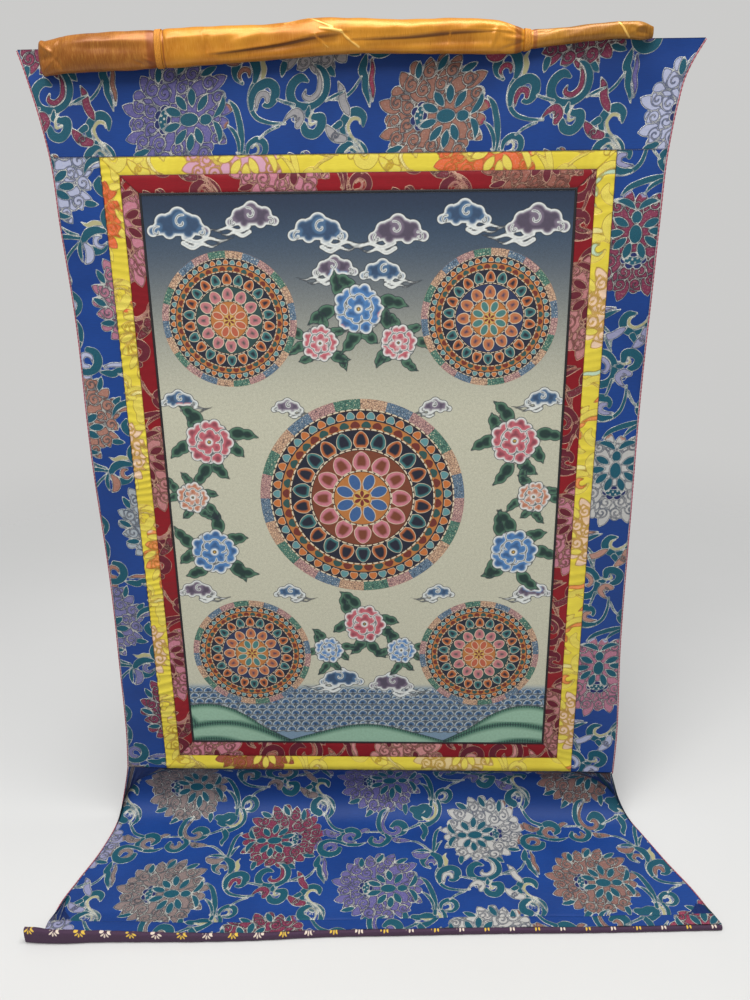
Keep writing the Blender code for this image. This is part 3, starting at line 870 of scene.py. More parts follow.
# The brocade: silk woven with lotus flowers on leafy scrolls and clouds, outlined in gold thread.
# One repeat is 254 by 174.3 mm and holds two flowers that face each other. All three colours of
# the mount, red, yellow and blue, are cut from cloth of this weave.
REPEAT_WIDE = 254.0
REPEAT_HIGH = 174.3
LOTUS_A = (0.0, 0.0)
LOTUS_B = (109.0, -88.0)
ABOVE_A = (0.0, -REPEAT_HIGH)
LEFT_OF_B = (LOTUS_B[0] - REPEAT_WIDE, LOTUS_B[1])
SCROLLS = (
    # thread, the flower whose colour it takes, points: across, down, half width
    ("leaf", ABOVE_A, ((-2, -133, 1.0), (-10, -129, 2.4), (-14, -118, 3.2), (-13, -105, 3.4),
        (-8, -95, 3.2), (4, -84, 1.4))),
    ("leaf", ABOVE_A, ((3, -107, 3.0), (9, -112, 4.6), (16, -110, 5.0), (20, -103, 4.4), (17, -95, 3.6),
        (9, -90, 2.4))),
    ("flower", ABOVE_A, ((5, -103, 1.4), (9, -105, 2.6), (12, -99, 3.0), (7, -93, 3.0), (-1, -94, 3.0),
        (-7, -102, 2.4), (-9, -113, 2.0), (-5, -124, 1.6), (0, -132, 0.8))),
    ("leaf", ABOVE_A, ((-22, -86, 2.2), (-24, -79, 3.2), (-19, -73, 3.8), (-11, -71, 3.8), (-4, -76, 3.8),
        (-1, -84, 3.4), (-5, -92, 2.0))),
    ("flower", ABOVE_A, ((-18, -83, 1.2), (-18, -78, 2.4), (-13, -76, 2.8), (-9, -80, 2.6),
        (-11, -86, 1.4))),
    ("leaf", ABOVE_A, ((24, -79, 0.8), (32, -78, 1.4), (42, -71, 1.5), (50, -62, 1.5))),
    ("flower", ABOVE_A, ((5, -84, 1.6), (10, -80, 4.6), (17, -80, 3.8), (27, -79, 0.8))),
    ("leaf", ABOVE_A, ((-10, -96, 1.0), (-20, -97, 1.3), (-30, -96, 1.0))),
    ("flower", ABOVE_A, ((-26, -101, 0.8), (-31, -101, 2.8), (-36, -97, 2.8), (-37, -92, 1.0))),
    ("leaf", ABOVE_A, ((-57, -99, 5.0), (-50, -101, 6.0), (-43, -98, 5.4), (-40, -90, 4.4),
        (-44, -84, 2.0))),
    ("leaf", ABOVE_A, ((-60, -96, 4.0), (-63, -87, 4.0), (-58, -79, 4.2), (-48, -74, 3.6), (-38, -73, 2.4),
        (-30, -76, 1.0))),
    ("flower", ABOVE_A, ((-46, -88, 1.4), (-45, -92, 2.4), (-50, -94, 3.2), (-56, -90, 3.4),
        (-56, -84, 3.0), (-50, -79, 2.4), (-42, -78, 1.2))),
    ("flower", ABOVE_A, ((-81, -104, 2.0), (-77, -98, 5.0), (-70, -94, 4.6), (-63, -95, 1.6))),
    ("leaf", ABOVE_A, ((-60, -101, 2.6), (-71, -107, 2.2), (-79, -118, 1.8), (-85, -131, 1.4))),
    ("leaf", ABOVE_A, ((-80, -124, 1.4), (-75, -133, 3.2), (-76, -143, 3.6), (-83, -150, 3.4),
        (-93, -154, 2.8), (-101, -158, 2.0))),
    ("leaf", ABOVE_A, ((-92, -131, 4.6), (-99, -136, 4.8), (-99, -144, 4.2), (-92, -149, 3.4),
        (-86, -144, 3.4))),
    ("cream", ABOVE_A, ((-86, -126, 0.7), (-82, -134, 1.4), (-82, -142, 1.6), (-89, -147, 1.4),
        (-95, -142, 1.0))),
    ("leaf", ABOVE_A, ((-80, -166, 1.2), (-81, -174, 3.6), (-89, -179, 4.8), (-97, -175, 4.6),
        (-101, -167, 3.4), (-98, -158, 2.4))),
    ("leaf", ABOVE_A, ((-104, -168, 3.6), (-110, -164, 2.6))),
    ("cream", ABOVE_A, ((-83, -168, 1.0), (-85, -172, 2.2), (-91, -173, 2.8), (-95, -167, 2.6),
        (-92, -159, 2.2), (-85, -152, 1.6), (-77, -143, 1.2), (-73, -133, 0.7))),
    ("leaf", ABOVE_A, ((-55, -75, 2.0), (-66, -81, 2.6), (-77, -83, 3.2), (-84, -78, 4.0), (-86, -69, 4.0),
        (-82, -61, 4.6), (-74, -57, 5.0), (-65, -60, 4.6), (-62, -67, 3.6))),
    ("flower", ABOVE_A, ((-75, -63, 1.0), (-69, -65, 2.4), (-67, -71, 2.8), (-72, -76, 3.2),
        (-79, -74, 3.0), (-80, -68, 2.0))),
    ("leaf", ABOVE_A, ((-86, -56, 1.0), (-87, -49, 3.4), (-88, -42, 4.0), (-84, -34, 3.4), (-83, -26, 3.0),
        (-79, -17, 2.0), (-76, -9, 0.6))),
    ("flower", ABOVE_A, ((-80, -51, 1.2), (-78, -42, 2.4), (-78, -33, 2.6), (-75, -24, 2.2),
        (-74, -14, 0.8))),
    ("leaf", ABOVE_A, ((-88, -36, 1.0), (-95, -24, 1.6), (-104, -17, 1.4), (-115, -16, 1.0))),
    ("flower", LEFT_OF_B, ((-110, -32, 0.6), (-106, -25, 3.2), (-103, -14, 4.0), (-98, -6, 3.4),
        (-95, -1, 0.8))),
    ("flower", LEFT_OF_B, ((-118, 6, 0.6), (-112, 13, 4.0), (-106, 18, 5.0), (-98, 20, 3.8))),
    ("leaf", ABOVE_A, ((30, -130, 4.4), (37, -128, 6.0), (44, -132, 4.8), (51, -130, 4.6), (48, -122, 4.4),
        (40, -119, 5.0), (34, -122, 4.0))),
    ("leaf", ABOVE_A, ((52, -146, 1.0), (60, -142, 2.0), (65, -132, 2.4), (63, -120, 2.6), (55, -111, 3.0),
        (44, -107, 4.0), (38, -110, 2.0))),
    ("cream", ABOVE_A, ((50, -143, 0.8), (56, -138, 2.2), (60, -129, 2.8), (57, -119, 2.8), (49, -115, 2.4),
        (42, -119, 1.2))),
    ("leaf", ABOVE_A, ((41, -108, 3.2), (45, -101, 4.0), (46, -93, 3.2), (43, -86, 3.0), (44, -79, 0.7))),
    ("leaf", ABOVE_A, ((19, -99, 1.2), (29, -104, 1.6), (39, -109, 1.8))),
    ("leaf", ABOVE_A, ((61, -142, 1.2), (62, -150, 2.6), (69, -155, 3.0), (77, -152, 3.2), (79, -144, 3.0),
        (74, -138, 2.2), (66, -138, 1.2))),
    ("cream", ABOVE_A, ((66, -147, 0.8), (69, -150, 1.6), (72, -147, 1.8), (71, -142, 1.6),
        (66, -141, 0.8))),
    ("leaf", ABOVE_A, ((72, -156, 1.0), (79, -162, 1.4), (90, -167, 1.2))),
    ("leaf", ABOVE_A, ((38, -17, 0.8), (44, -11, 2.4), (50, 2, 3.0), (54, 18, 3.0), (54, 40, 2.2))),
    ("leaf", ABOVE_A, ((39, 6, 0.8), (45, 11, 1.8), (51, 21, 2.0), (53, 32, 1.2))),
    ("leaf", LOTUS_B, ((66, -103, 0.8), (60, -94, 2.2), (57, -80, 2.4), (56, -66, 2.2), (54, -56, 1.6))),
    ("leaf", LOTUS_B, ((66, -78, 0.8), (61, -71, 1.8), (58, -62, 1.4))),
    ("leaf", LOTUS_B, ((118, -48, 0.8), (127, -43, 2.6), (133, -32, 3.4), (132, -20, 3.4), (124, -12, 3.4),
        (113, -10, 3.6), (103, -13, 4.2), (98, -22, 4.4), (100, -31, 4.6), (107, -36, 4.0),
        (114, -33, 1.6))),
    ("flower", LOTUS_B, ((122, -43, 1.0), (126, -33, 2.4), (125, -22, 2.8), (118, -17, 2.8),
        (112, -20, 2.2), (113, -25, 1.0))),
    ("leaf", LOTUS_B, ((134, -15, 1.0), (141, -19, 1.6), (150, -23, 1.0))),
    ("leaf", LOTUS_B, ((62, -36, 1.4), (58, -24, 2.0), (60, -10, 2.2), (67, -1, 2.2), (80, 4, 1.8),
        (96, 5, 1.2))),
    ("leaf", LOTUS_B, ((118, -10, 1.2), (118, -3, 3.0), (124, -1, 3.2), (131, 0, 4.4), (132, 8, 4.6),
        (126, 15, 4.6), (118, 13, 4.2), (114, 6, 3.0))),
    ("cream", LOTUS_B, ((123, -7, 0.8), (120, 0, 1.8), (122, 6, 2.2), (127, 4, 1.2))),
    ("flower", LOTUS_B, ((94, 4, 0.8), (100, -3, 2.8), (106, -5, 4.4), (110, 0, 4.8), (109, 7, 3.0))),
    ("leaf", LOTUS_B, ((51, -57, 3.0), (45, -53, 4.4), (42, -45, 4.4), (44, -37, 3.2), (50, -32, 1.6))),
    ("leaf", LOTUS_B, ((53, -57, 3.0), (60, -51, 4.6), (63, -43, 4.0), (62, -34, 2.4))),
    ("flower", ABOVE_A, ((49, -34, 1.0), (46, -39, 2.0), (49, -44, 2.6), (55, -43, 2.4), (56, -38, 1.2))),
    ("flower", ABOVE_A, ((29, -58, 0.8), (34, -53, 4.0), (42, -52, 4.6), (49, -56, 2.0))),
    ("leaf", ABOVE_A, ((31, -61, 0.6), (38, -62, 2.2), (45, -62, 2.2), (52, -60, 1.0))),
    ("cream", LOTUS_B, ((71, -57, 0.6), (68, -51, 3.0), (70, -44, 4.0), (69, -36, 2.8), (67, -31, 0.8))),
    ("leaf", LOTUS_B, ((61, -9, 2.0), (61, -20, 4.0), (67, -29, 4.8), (76, -32, 4.4), (82, -28, 4.4),
        (83, -20, 4.4), (77, -13, 4.0), (73, -12, 1.6))),
    ("flower", LOTUS_B, ((66, -8, 1.0), (66, -16, 2.6), (69, -22, 3.0), (75, -21, 3.0), (76, -16, 2.2))),
    ("leaf", LOTUS_B, ((86, -17, 1.2), (95, -14, 1.5), (103, -12, 1.4))),
)
CREAM_SLIMMER = 0.65
LOOSE_CURLS = (
    # middle, radius, starting angle, turns
    ((-90.0, -139.0), 5.0, 0.5, -1.3),
    ((105.0, 0.0), 4.6, 0.0, 1.2),
    ((-106.0, 17.0), 4.4, 2.0, 1.2),
    ((-73.0, -97.0), 4.2, 1.0, -1.2),
    ((12.0, -80.0), 3.4, 1.0, 1.1),
)
LOTUS_BODY = (-11.0, -3.0)
OUTER_PETALS = 22
INNER_PETALS = 13
POINTED_PETAL = ((30.0, 4.0), (40.0, 6.6), (47.0, 5.2), (54.0, 0.5))
ROUND_PETAL = ((32.0, 4.0), (44.0, 5.6), (46.0, 5.4))
INNER_PETAL = ((18.0, 5.0), (29.0, 8.0), (36.0, 5.6), (42.0, 0.6))
CURLED_PETALS = (
    # across and down from the lotus's heart, radius
    (-50, -12, 6.0), (-50, 4, 6.0), (-45, 20, 6.4), (-38, -28, 7.0), (-22, -40, 6.6), (0, -41, 6.4),
    (17, -33, 6.2), (27, -20, 5.6), (29, 17, 5.6), (18, 31, 6.2), (0, 38, 6.6), (-21, 36, 7.0),
    (-38, -8, 6.6), (-37, 8, 6.6), (-26, -24, 6.6), (-28, 22, 6.6), (-9, -29, 6.0), (-10, 27, 6.0),
)
SMALL_LEAVES = ((-11, -47), (-33, -40), (15, -43), (-45, 30), (-25, 45), (20, 42))
SMALL_LEAF = ((-7.0, 0.8), (-1.0, 3.4), (4.0, 2.8), (9.0, 0.5))
HEART_LEAVES = ((1, -20), (-9, -15), (12, -15), (-16, -7), (-16, 7), (-7, 16), (11, 15), (3, 21))
HEART_LEAF = ((-8.0, 0.7), (-3.0, 3.4), (2.0, 3.9), (8.5, 0.5))
CROWN_LOBES = ((-25, -9, 4.4), (-30, -4, 4.4), (-30, 4, 4.4), (-25, 9, 4.4), (-24, 0, 6.0))
CROWN_BEADS = ((-24, -6), (-25, -1), (-24, 4), (-28, -4), (-28, 2), (-25, 8))


def lotus(chart, heart, facing):
    """One lotus. Facing 1, its crown is on the left; facing -1 it is the mirror image."""

    def at(x, y, half=0.0):
        return (heart[0] + facing * x, heart[1] + y, half)

    def stroke(thread, points, outlined=True):
        draw(chart, thread, [at(*point) for point in points], heart, outlined)

    def leaned(x, y, angle, shape):
        """A leaf's points, on a line through its middle."""
        return [(x + reach * math.cos(angle), y + reach * math.sin(angle), half) for reach, half in shape]

    def spoke(shape, angle, stretch=1.0):
        """A petal, along a slightly bent line out of the lotus's body."""
        points = []
        for reach, half in shape:
            turn = angle + 0.004 * (reach - 30.0)
            points += leaned(*LOTUS_BODY, turn, [(reach * stretch, half)])
        stroke("flower", points)

    def set_apart(points, bare):
        """A leaf with a little of the flower left bare round it."""
        stroke("flower", [(x, y, half + bare) for x, y, half in points], False)
        stroke("leaf", points)

    def way_out(x, y):
        return math.atan2(y - LOTUS_BODY[1], x - LOTUS_BODY[0])

    stroke("flower", [(*LOTUS_BODY, 30.0)], False)
    for index in range(OUTER_PETALS):
        shape = POINTED_PETAL if index % 2 else ROUND_PETAL
        spoke(shape, FULL_TURN * (index + 0.3) / OUTER_PETALS, 1.0 + 0.06 * math.sin(2.4 * index))
    for x, y in SMALL_LEAVES:
        stroke("leaf", leaned(x, y, way_out(x, y) + 0.5, SMALL_LEAF))
    for index in range(INNER_PETALS):
        spoke(INNER_PETAL, FULL_TURN * (index + 0.1) / INNER_PETALS)
    for x, y, radius in CURLED_PETALS:
        out = way_out(x, y)
        side = 1.0 if y > 0 else -1.0
        stroke("flower", [(x, y, radius), *leaned(x, y, out - 0.5 * side, [(1.3 * radius, 1.0)])])
        start = out + 2.2 * side
        curl(chart, at(x, y)[:2], radius, start if facing > 0 else math.pi - start, 1.15 * facing * side)
    stroke("flower", [(0.0, -1.0, 17.0)], False)
    for side in (-1.0, 1.0):
        slim = ((32.0, 22.0, 0.5), (32.0, 14.0, 2.8), (29.0, 7.0, 3.0), (24.0, 1.5, 0.6))
        stroke("leaf", [(x, side * y, half) for x, y, half in slim])
    for lobe in CROWN_LOBES:
        stroke("navy", [lobe])
    stroke("leaf", [(-25.0, -6.0, 3.4), (-26.5, 0.0, 4.0), (-25.0, 6.0, 3.4)])
    for x, y in CROWN_BEADS:
        stroke("cream", [(x, y, 0.9)], False)
    for x, y in HEART_LEAVES:
        set_apart(leaned(x, y, math.atan2(y, x - 4.0), HEART_LEAF), 1.0)
    set_apart([(12.0, 0.0, 2.0), (16.5, 0.0, 5.2), (22.0, 0.0, 0.8)], 1.4)
    set_apart([(-8.0, 0.0, 1.0), (-3.0, 0.0, 5.6), (3.0, 0.0, 5.6), (8.5, 0.0, 1.0)], 1.6)


brocade = new_chart(REPEAT_WIDE, REPEAT_HIGH, 0.5)
lotus(brocade, LOTUS_A, 1.0)
lotus(brocade, LOTUS_B, -1.0)
for thread, owner, points in SCROLLS:
    slim = CREAM_SLIMMER if thread == "cream" else 1.0
    draw(brocade, thread, [(x, y, half * slim) for x, y, half in points], owner)
for given in LOOSE_CURLS:
    curl(brocade, *given)


def make_brocade_colours():
    """The brocade's colour, its share of metal thread and the height of its threads."""
    tree, takes, gives = new_group(
        "brocade",
        {
            "Vector": ("Place", "Figures", "Outlines"),
            "Float": ("Cream thread", "Seam", "Outline width"),
            "Color": ("Tint", "Ground", "Ground shade", "Leaf", "Navy", "Cream", "Outline", "Outline glint"),
        },
        {"Color": ("Colour",), "Float": ("Metal", "Roughness", "Height")},
    )
    place = takes["Place"]
    shade = takes["Ground shade"]
    across, up, _ = place.parts()
    flower, leaf, navy = takes["Figures"].parts()
    cream = takes["Cream thread"]
    line = use_group(outline_distance, {"Outlines": takes["Outlines"]})["Distance"]
    # the ground, uneven from place to place and along its weft
    fine = noise(place, 0.9, 3.0, 0.7)
    weft = noise(add_node(tree, "Mapping", {"Vector": place, "Scale": (0.10, 1.6, 1.0)}), 1.0, 2.0, 0.6)
    ground = blend(noise(place, 0.012).fade(0.3, 0.7, 0.0, 0.35), takes["Ground"], shade)
    ground = blend(weft.fade(0.25, 0.75, 0.0, 0.30), ground, shade)
    float_line = up.wave(0.8) * 0.5 + 0.5
    warp_line = across.wave(0.5) * 0.5 + 0.5
    # the figures, each with its own thread. Flowers get painted glints and darker specks from noise, and
    # painted shade towards their edges and outlines
    in_flower, in_leaf, in_navy, in_cream = (field.below(0.0, 0.4) for field in (flower, leaf, navy, cream))
    glint = noise(place, 0.55, 4.0, 0.7)
    lit = blend(glint.fade(0.50, 0.75, 0.0, 0.40), takes["Tint"], (206, 196, 184))
    lit = blend(glint.fade(0.48, 0.28, 0.0, 0.28), lit, shade)
    shaded = blend(least(line, abs(flower)).fade(0.3, 1.4, 0.85, 0.0), lit, shade, "MULTIPLY")
    leafy = blend(fine.fade(0.3, 0.7, 0.0, 0.35), takes["Leaf"], shade, "MULTIPLY")
    colour = blend(in_navy, ground, takes["Navy"])
    colour = blend(in_leaf, colour, leafy)
    colour = blend(in_cream, colour, takes["Cream"])
    colour = blend(in_flower, colour, shaded)
    # outlines of metal thread, slimmer inside a flower, with painted glints that are dotted and fade in worn
    # stretches
    outline = least(line, *(abs(field) for field in (leaf, flower, cream, navy)))
    caught = noise(place, 1.6, 3.0, 0.7).fade(0.40, 0.58) * noise(place, 0.09).fade(0.36, 0.58, 0.30, 1.0)
    inside = flower.below(-0.8, 0.4)
    half = caught * 0.10 + takes["Outline width"] * (inside * -0.17 + 0.36)
    gilt = (outline - half).fade(-0.20, 0.30, 1.0, 0.0) * (inside * -0.18 + 1.0)
    colour = blend(gilt, colour, blend(caught, takes["Outline"], takes["Outline glint"]))
    colour = blend(float_line.fade(0.0, 1.0, 0.10, 0.0), colour, shade, "MULTIPLY")
    # painted shade along each cloth's edges, where it meets the next one
    colour = blend(takes["Seam"].fade(0.1, 1.5, 0.60, 0.0), colour, shade, "MULTIPLY")
    feed(gives["Colour"], colour)
    feed(gives["Metal"], gilt * 0.25)
    feed(gives["Roughness"], fine * 0.16 + 0.46 - gilt * 0.16)
    figure = calc("MAXIMUM", calc("MAXIMUM", in_flower, in_leaf), calc("MAXIMUM", in_cream, in_navy))
    ribs = float_line * figure + warp_line * 0.5
    feed(gives["Height"], ribs * 0.5 + figure * 0.8 + gilt * 0.5)
    return tree


brocade_colours = make_brocade_colours()
SILK_SPECULAR = 0.35


def brocade_look(name, outline_width, **colours):
    """Silk brocade, whose colours are given by the brocade group's own names for them."""
    look, tree, shader = new_look(name, roughness=0.6)
    given = {title.capitalize().replace("_", " "): colour for title, colour in colours.items()}
    given |= {
        "Place": flat_place(tree),
        "Figures": attribute(tree, "figures", "Vector"),
        "Outlines": attribute(tree, "outlines", "Vector"),
        "Cream thread": attribute(tree, "cream", "Fac"),
        "Tint": attribute(tree, "tint", "Color"),
        "Seam": attribute(tree, "seam", "Fac"),
        "Outline width": outline_width,
    }
    woven = use_group(brocade_colours, given)
    feed(shader["Metallic"], woven["Metal"])
    feed(shader["Roughness"], woven["Roughness"])
    shader["Specular IOR Level"].default_value = SILK_SPECULAR
    finish_with(shader, woven["Colour"], woven["Height"], deep=0.00022)
    return look


CLOTH_THICK = 0.0020
OUTWARD = {"left": (-1, 0), "right": (1, 0), "top": (0, 1), "bottom": (0, -1)}
MITRE_GAP = 0.75 * SEAM_GAP


def corner(edge, signs):
    """A corner of a rectangle about the painting's centre, as a flat point."""
    height = edge["top"] if signs[1] > 0 else -edge["bottom"]
    return np.array([signs[0] * edge["side"], height - CENTRE_BELOW_TOP])


def strip_place(side, inner, outer):
    """Where a mitred strip's points lie: across runs along it, up from its inner to its outer edge."""
    out = np.array(OUTWARD[side])
    way = np.abs(out[::-1])
    ends = []
    for edge, clear in ((inner, SEAM_GAP / 2.0), (outer, -SEAM_GAP / 2.0)):
        for end in (-1, 1):
            ends.append(corner(edge, out + end * way) - end * way * MITRE_GAP + out * clear)

    def place(across, up):
        return [between(between(a, b, across), between(c, d, across), up) for a, b, c, d in zip(*ends)]

    return place


def strip_puckers(upright, seed, pitch, height):
    """Fine puckers across a strip where its seams draw in, and its turned-under edges."""

    def relief(x, v, across, up):
        run = (v if upright else x) * MM
        wander = (
            2.8 * np.sin(run / 31.0 + seed)
            + 1.7 * np.sin(run / 13.0 + 2.0 * seed)
            + 0.8 * np.sin(run / 6.1)
        )
        slant = 3.4 * np.sin(run / 23.0 + 1.7 * seed) * (up - 0.5)
        fold = 0.5 + 0.5 * np.sin(FULL_TURN * run / pitch + wander + slant)
        strength = 0.35 + 0.65 * np.sin(run / 47.0 + seed * 1.3) ** 2
        edges = bump(0.0, 0.10, up) + bump(1.0, 0.10, up)
        return height * strength * (fold**2 - 0.3) * (0.55 + 0.45 * edges) - 0.0006 * edges

    return relief


def tint_rows(*rows):
    """The flowers' colours: a lotus, its row of the repeat, its first column and colours from there."""
    tints = []
    for place, row, first, *colours in rows:
        for column, colour in enumerate(colours, first):
            tints.append((place[0] + column * REPEAT_WIDE, place[1] + row * REPEAT_HIGH, colour))
    return tints


def strip_tints(along, beside):
    """Colours of the flowers along a strip's chart, and of those beside them, in turn."""
    rows = []
    for row in range(-3, 4):
        for place in (LOTUS_A, LOTUS_B):
            used = along if row == 0 and place == LOTUS_A else beside
            rows.append((place, row, -3, *[used[column % len(used)] for column in range(-3, 5)]))
    return tint_rows(*rows)


def brocade_frame(name, slot, inner, outer, look, cells, strips):
    """Four mitred strips of one brocade, lapped over the painting's edge or the last frame's."""
    for number, (side, given) in enumerate(strips.items()):
        pucker_pitch, pucker_height, chart_x, chart_y, along, beside = given
        upright = side in ("left", "right")
        count = cells["upright" if upright else "level"]
        strip, flat = sew(
            f"{name}_{side}_dressed",
            strip_place(side, inner, outer),
            (count, cells["across"]),
            (count // 16, 2),
            CLOTH_THICK,
            hang_upright,
            strip_puckers(upright, 2 * number + upright, pucker_pitch, pucker_height),
        )
        height = flat[:, 1] + CENTRE_BELOW_TOP * MM
        if upright:
            x, y = height - chart_x, flat[:, 0] - chart_y
        else:
            x, y = flat[:, 0] - chart_x, chart_y - height
        weave_in(strip, brocade, x, y, strip_tints(along, beside))
        dress(strip, f"{name}_{side}", slot, look, lining)
        signs = (1, -1 if side == "bottom" else 1)
        wide, deep = (float(size) for size in np.abs(corner(outer, signs) - corner(inner, signs)))
        long = 2.0 * outer["side"]
        if upright:
            wide, deep = deep, wide
            long = float(corner(outer, (1, 1))[1] - corner(outer, (1, -1))[1])


# The red frame: four strips of crimson brocade with mitred corners, sewn over the piping. Their
# edges are turned under, and their seams draw them into fine puckers.
PIPED_EDGE = {
    "side": PAINTING_WIDE / 2.0 + PIPING_WIDE,
    "top": PAINTING_HIGH / 2.0 + PIPING_WIDE,
    "bottom": PAINTING_HIGH / 2.0 + PIPING_WIDE,
}
RED_EDGE = {"side": 0.2405, "top": 0.3490, "bottom": 0.3520}
ROSE = (196, 122, 138)
DUSTY_ROSE = (190, 124, 122)
PALE_ROSE = (216, 146, 140)
BRIGHT_ROSE = (208, 130, 142)
CLAY = (182, 108, 90)
BURGUNDY = (112, 30, 46)
RUST = (150, 88, 72)
red_look = brocade_look(
    "crimson brocade",
    outline_width=0.50,
    ground=(148, 8, 24),
    ground_shade=(96, 6, 18),
    leaf=(108, 22, 42),
    navy=(82, 14, 30),
    cream=(180, 116, 116),
    outline=(150, 90, 80),
    outline_glint=(218, 184, 150),
)
brocade_frame(
    "red_strip",
    "red_brocade",
    PIPED_EDGE,
    RED_EDGE,
    red_look,
    cells={"upright": 400, "level": 290, "across": 12},
    strips={
        # pucker pitch and height, the chart's place, flowers along the strip, those beside them
        "left": (8.0, 0.0005, 300.0, -246.0, (ROSE, DUSTY_ROSE), (BURGUNDY,)),
        "right": (11.0, 0.0004, 224.0, 246.0, (DUSTY_ROSE, ROSE), (BURGUNDY,)),
        "top": (9.0, 0.0003, -66.0, 366.0, (ROSE, RUST), (BURGUNDY,)),
        "bottom": (9.0, 0.0003, 61.0, -371.0, (PALE_ROSE, BRIGHT_ROSE), (PALE_ROSE, CLAY)),
    },
)

# The yellow frame: a second border outside the red one. Its upright strips pucker all along, and
# its lower edge laps over the skirt's seam.
YELLOW_EDGE = {"side": 0.2590, "top": 0.3665, "bottom": 0.3715}
LEMON = (232, 214, 84)
MAUVE_PINK = (214, 160, 184)
VERMILION = (228, 104, 54)
SHELL = (236, 202, 172)
SAND = (226, 200, 140)
BRICK = (158, 76, 54)
APRICOT = (234, 144, 76)
SEA_FOAM = (188, 214, 186)
yellow_look = brocade_look(
    "yellow brocade",
    outline_width=0.45,
    ground=(234, 216, 72),
    ground_shade=(204, 176, 44),
    leaf=(236, 220, 96),
    navy=(214, 188, 78),
    cream=(238, 226, 146),
    outline=(168, 132, 48),
    outline_glint=(214, 186, 100),
)
brocade_frame(
    "yellow_strip",
    "yellow_brocade",
    RED_EDGE,
    YELLOW_EDGE,
    yellow_look,
    cells={"upright": 500, "level": 320, "across": 12},
    strips={
        "left": (8.5, 0.0018, 318.0, -289.0, (VERMILION, SHELL, SHELL), (LEMON, APRICOT, LEMON)),
        "right": (12.0, 0.0009, 220.0, 286.0, (SHELL,), (SEA_FOAM, APRICOT, APRICOT)),
        "top": (11.0, 0.0006, -114.0, 371.0, (MAUVE_PINK, VERMILION), (LEMON,)),
        "bottom": (11.0, 0.0006, 121.0, -340.0, (SAND, BRICK), (LEMON,)),
    },
)

# The blue mount: a top band and two side strips of royal blue brocade, sewn round the yellow frame.
# The band's corners fan out to where the scroll is held.
SIDE_OUTLINE = (
    # height over the painting's centre, left, right
    (0.4655, 0.3290, 0.3362),
    (0.4460, 0.3235, 0.3252),
    (0.4320, 0.3200, 0.3194),
    (0.4090, 0.3146, 0.3145),
    (0.3665, 0.3076, 0.3088),
    (0.3000, 0.3064, 0.3060),
    (0.2050, 0.3040, 0.3045),
    (0.0700, 0.3040, 0.3036),
    (-0.0900, 0.3023, 0.3044),
    (-0.1950, 0.3022, 0.3070),
    (-0.3270, 0.3054, 0.3115),
    (-0.3715, 0.3095, 0.3108),
)
PURPLE = (98, 92, 150)
DUSK = (112, 110, 156)
COPPER = (152, 102, 84)
SANDSTONE = (168, 116, 98)
ROSY_TAN = (178, 132, 116)
MAROON = (126, 40, 72)
SILVER = (160, 157, 157)
PALE_SILVER = (192, 190, 184)
GREY_BLUE = (166, 174, 178)
ROSE_BROWN = (140, 100, 90)
TAN = (134, 116, 112)
LILAC = (150, 150, 182)
PALE_LILAC = (178, 182, 206)
CRIMSON = (148, 50, 78)
PINK = (176, 112, 132)
BAND_CHART = (89.3, 400.0)
BAND_SLANT = 0.16
SIDE_CHARTS = {"right": (286.0, 283.6), "left": (233.0, -228.0)}
SIDE_TINTS = {
    "right": (
        (LOTUS_A, -1, -2, PALE_LILAC, ROSY_TAN, LILAC),
        (LOTUS_A, 0, -2, PINK, PALE_SILVER, MAROON),
        (LOTUS_B, 0, -3, PALE_LILAC, ROSY_TAN, LILAC, LILAC),
    ),
    "left": (
        (LOTUS_A, 0, -2, MAROON, GREY_BLUE, PINK),
        (LOTUS_B, 0, -3, TAN, DUSK, SANDSTONE, PALE_LILAC),
    ),
}


def through(rows, column, at):
    """Reads a smooth curve that passes through one column of a table, first column first."""
    table = np.array(sorted(rows), dtype=float)
    return smooth_curve(table[:, 0], table[:, column], at)


blue_look = brocade_look(
    "royal blue brocade",
    outline_width=0.44,
    ground=(18, 67, 143),
    ground_shade=(10, 40, 98),
    leaf=(6, 89, 107),
    navy=(20, 36, 92),
    cream=(176, 170, 126),
    outline=(92, 110, 120),
    outline_glint=(255, 250, 232),
)


def blue_panel(name, place, face_cells, back_cells, chart_place, tints):
    """One panel of the upright blue mount."""

    def seam_relief(x, v, across, up):
        edges = bump(0.0, 0.04, across) + bump(1.0, 0.04, across)
        ripple = 0.0003 * np.sin(v * MM / 9.0 + 2.0 * np.sin(v * MM / 37.0))
        return ripple - 0.0005 * edges

    panel, flat = sew(
        f"{name}_dressed", place, face_cells, back_cells, CLOTH_THICK, hang_upright, seam_relief
    )
    x, y = chart_place(flat[:, 0], flat[:, 1] + CENTRE_BELOW_TOP * MM)
    weave_in(panel, brocade, x, y, tint_rows(*tints))
    dress(panel, name, "blue_brocade", blue_look, lining)


def top_place(across, up):
    height = between(YELLOW_EDGE["top"] + SEAM_GAP / 2.0, CENTRE_BELOW_TOP, up)
    x = between(-through(SIDE_OUTLINE, 1, height), through(SIDE_OUTLINE, 2, height), across)
    return x, height - CENTRE_BELOW_TOP


def side_place(side):
    inner = YELLOW_EDGE["side"] + SEAM_GAP / 2.0

    def place(across, up):
        height = between(-YELLOW_EDGE["bottom"] + SEAM_GAP / 2.0, YELLOW_EDGE["top"] - SEAM_GAP / 2.0, up)
        if side == "left":
            x = between(-through(SIDE_OUTLINE, 1, height), -inner, across)
        else:
            x = between(inner, through(SIDE_OUTLINE, 2, height), across)
        return x, height - CENTRE_BELOW_TOP

    return place


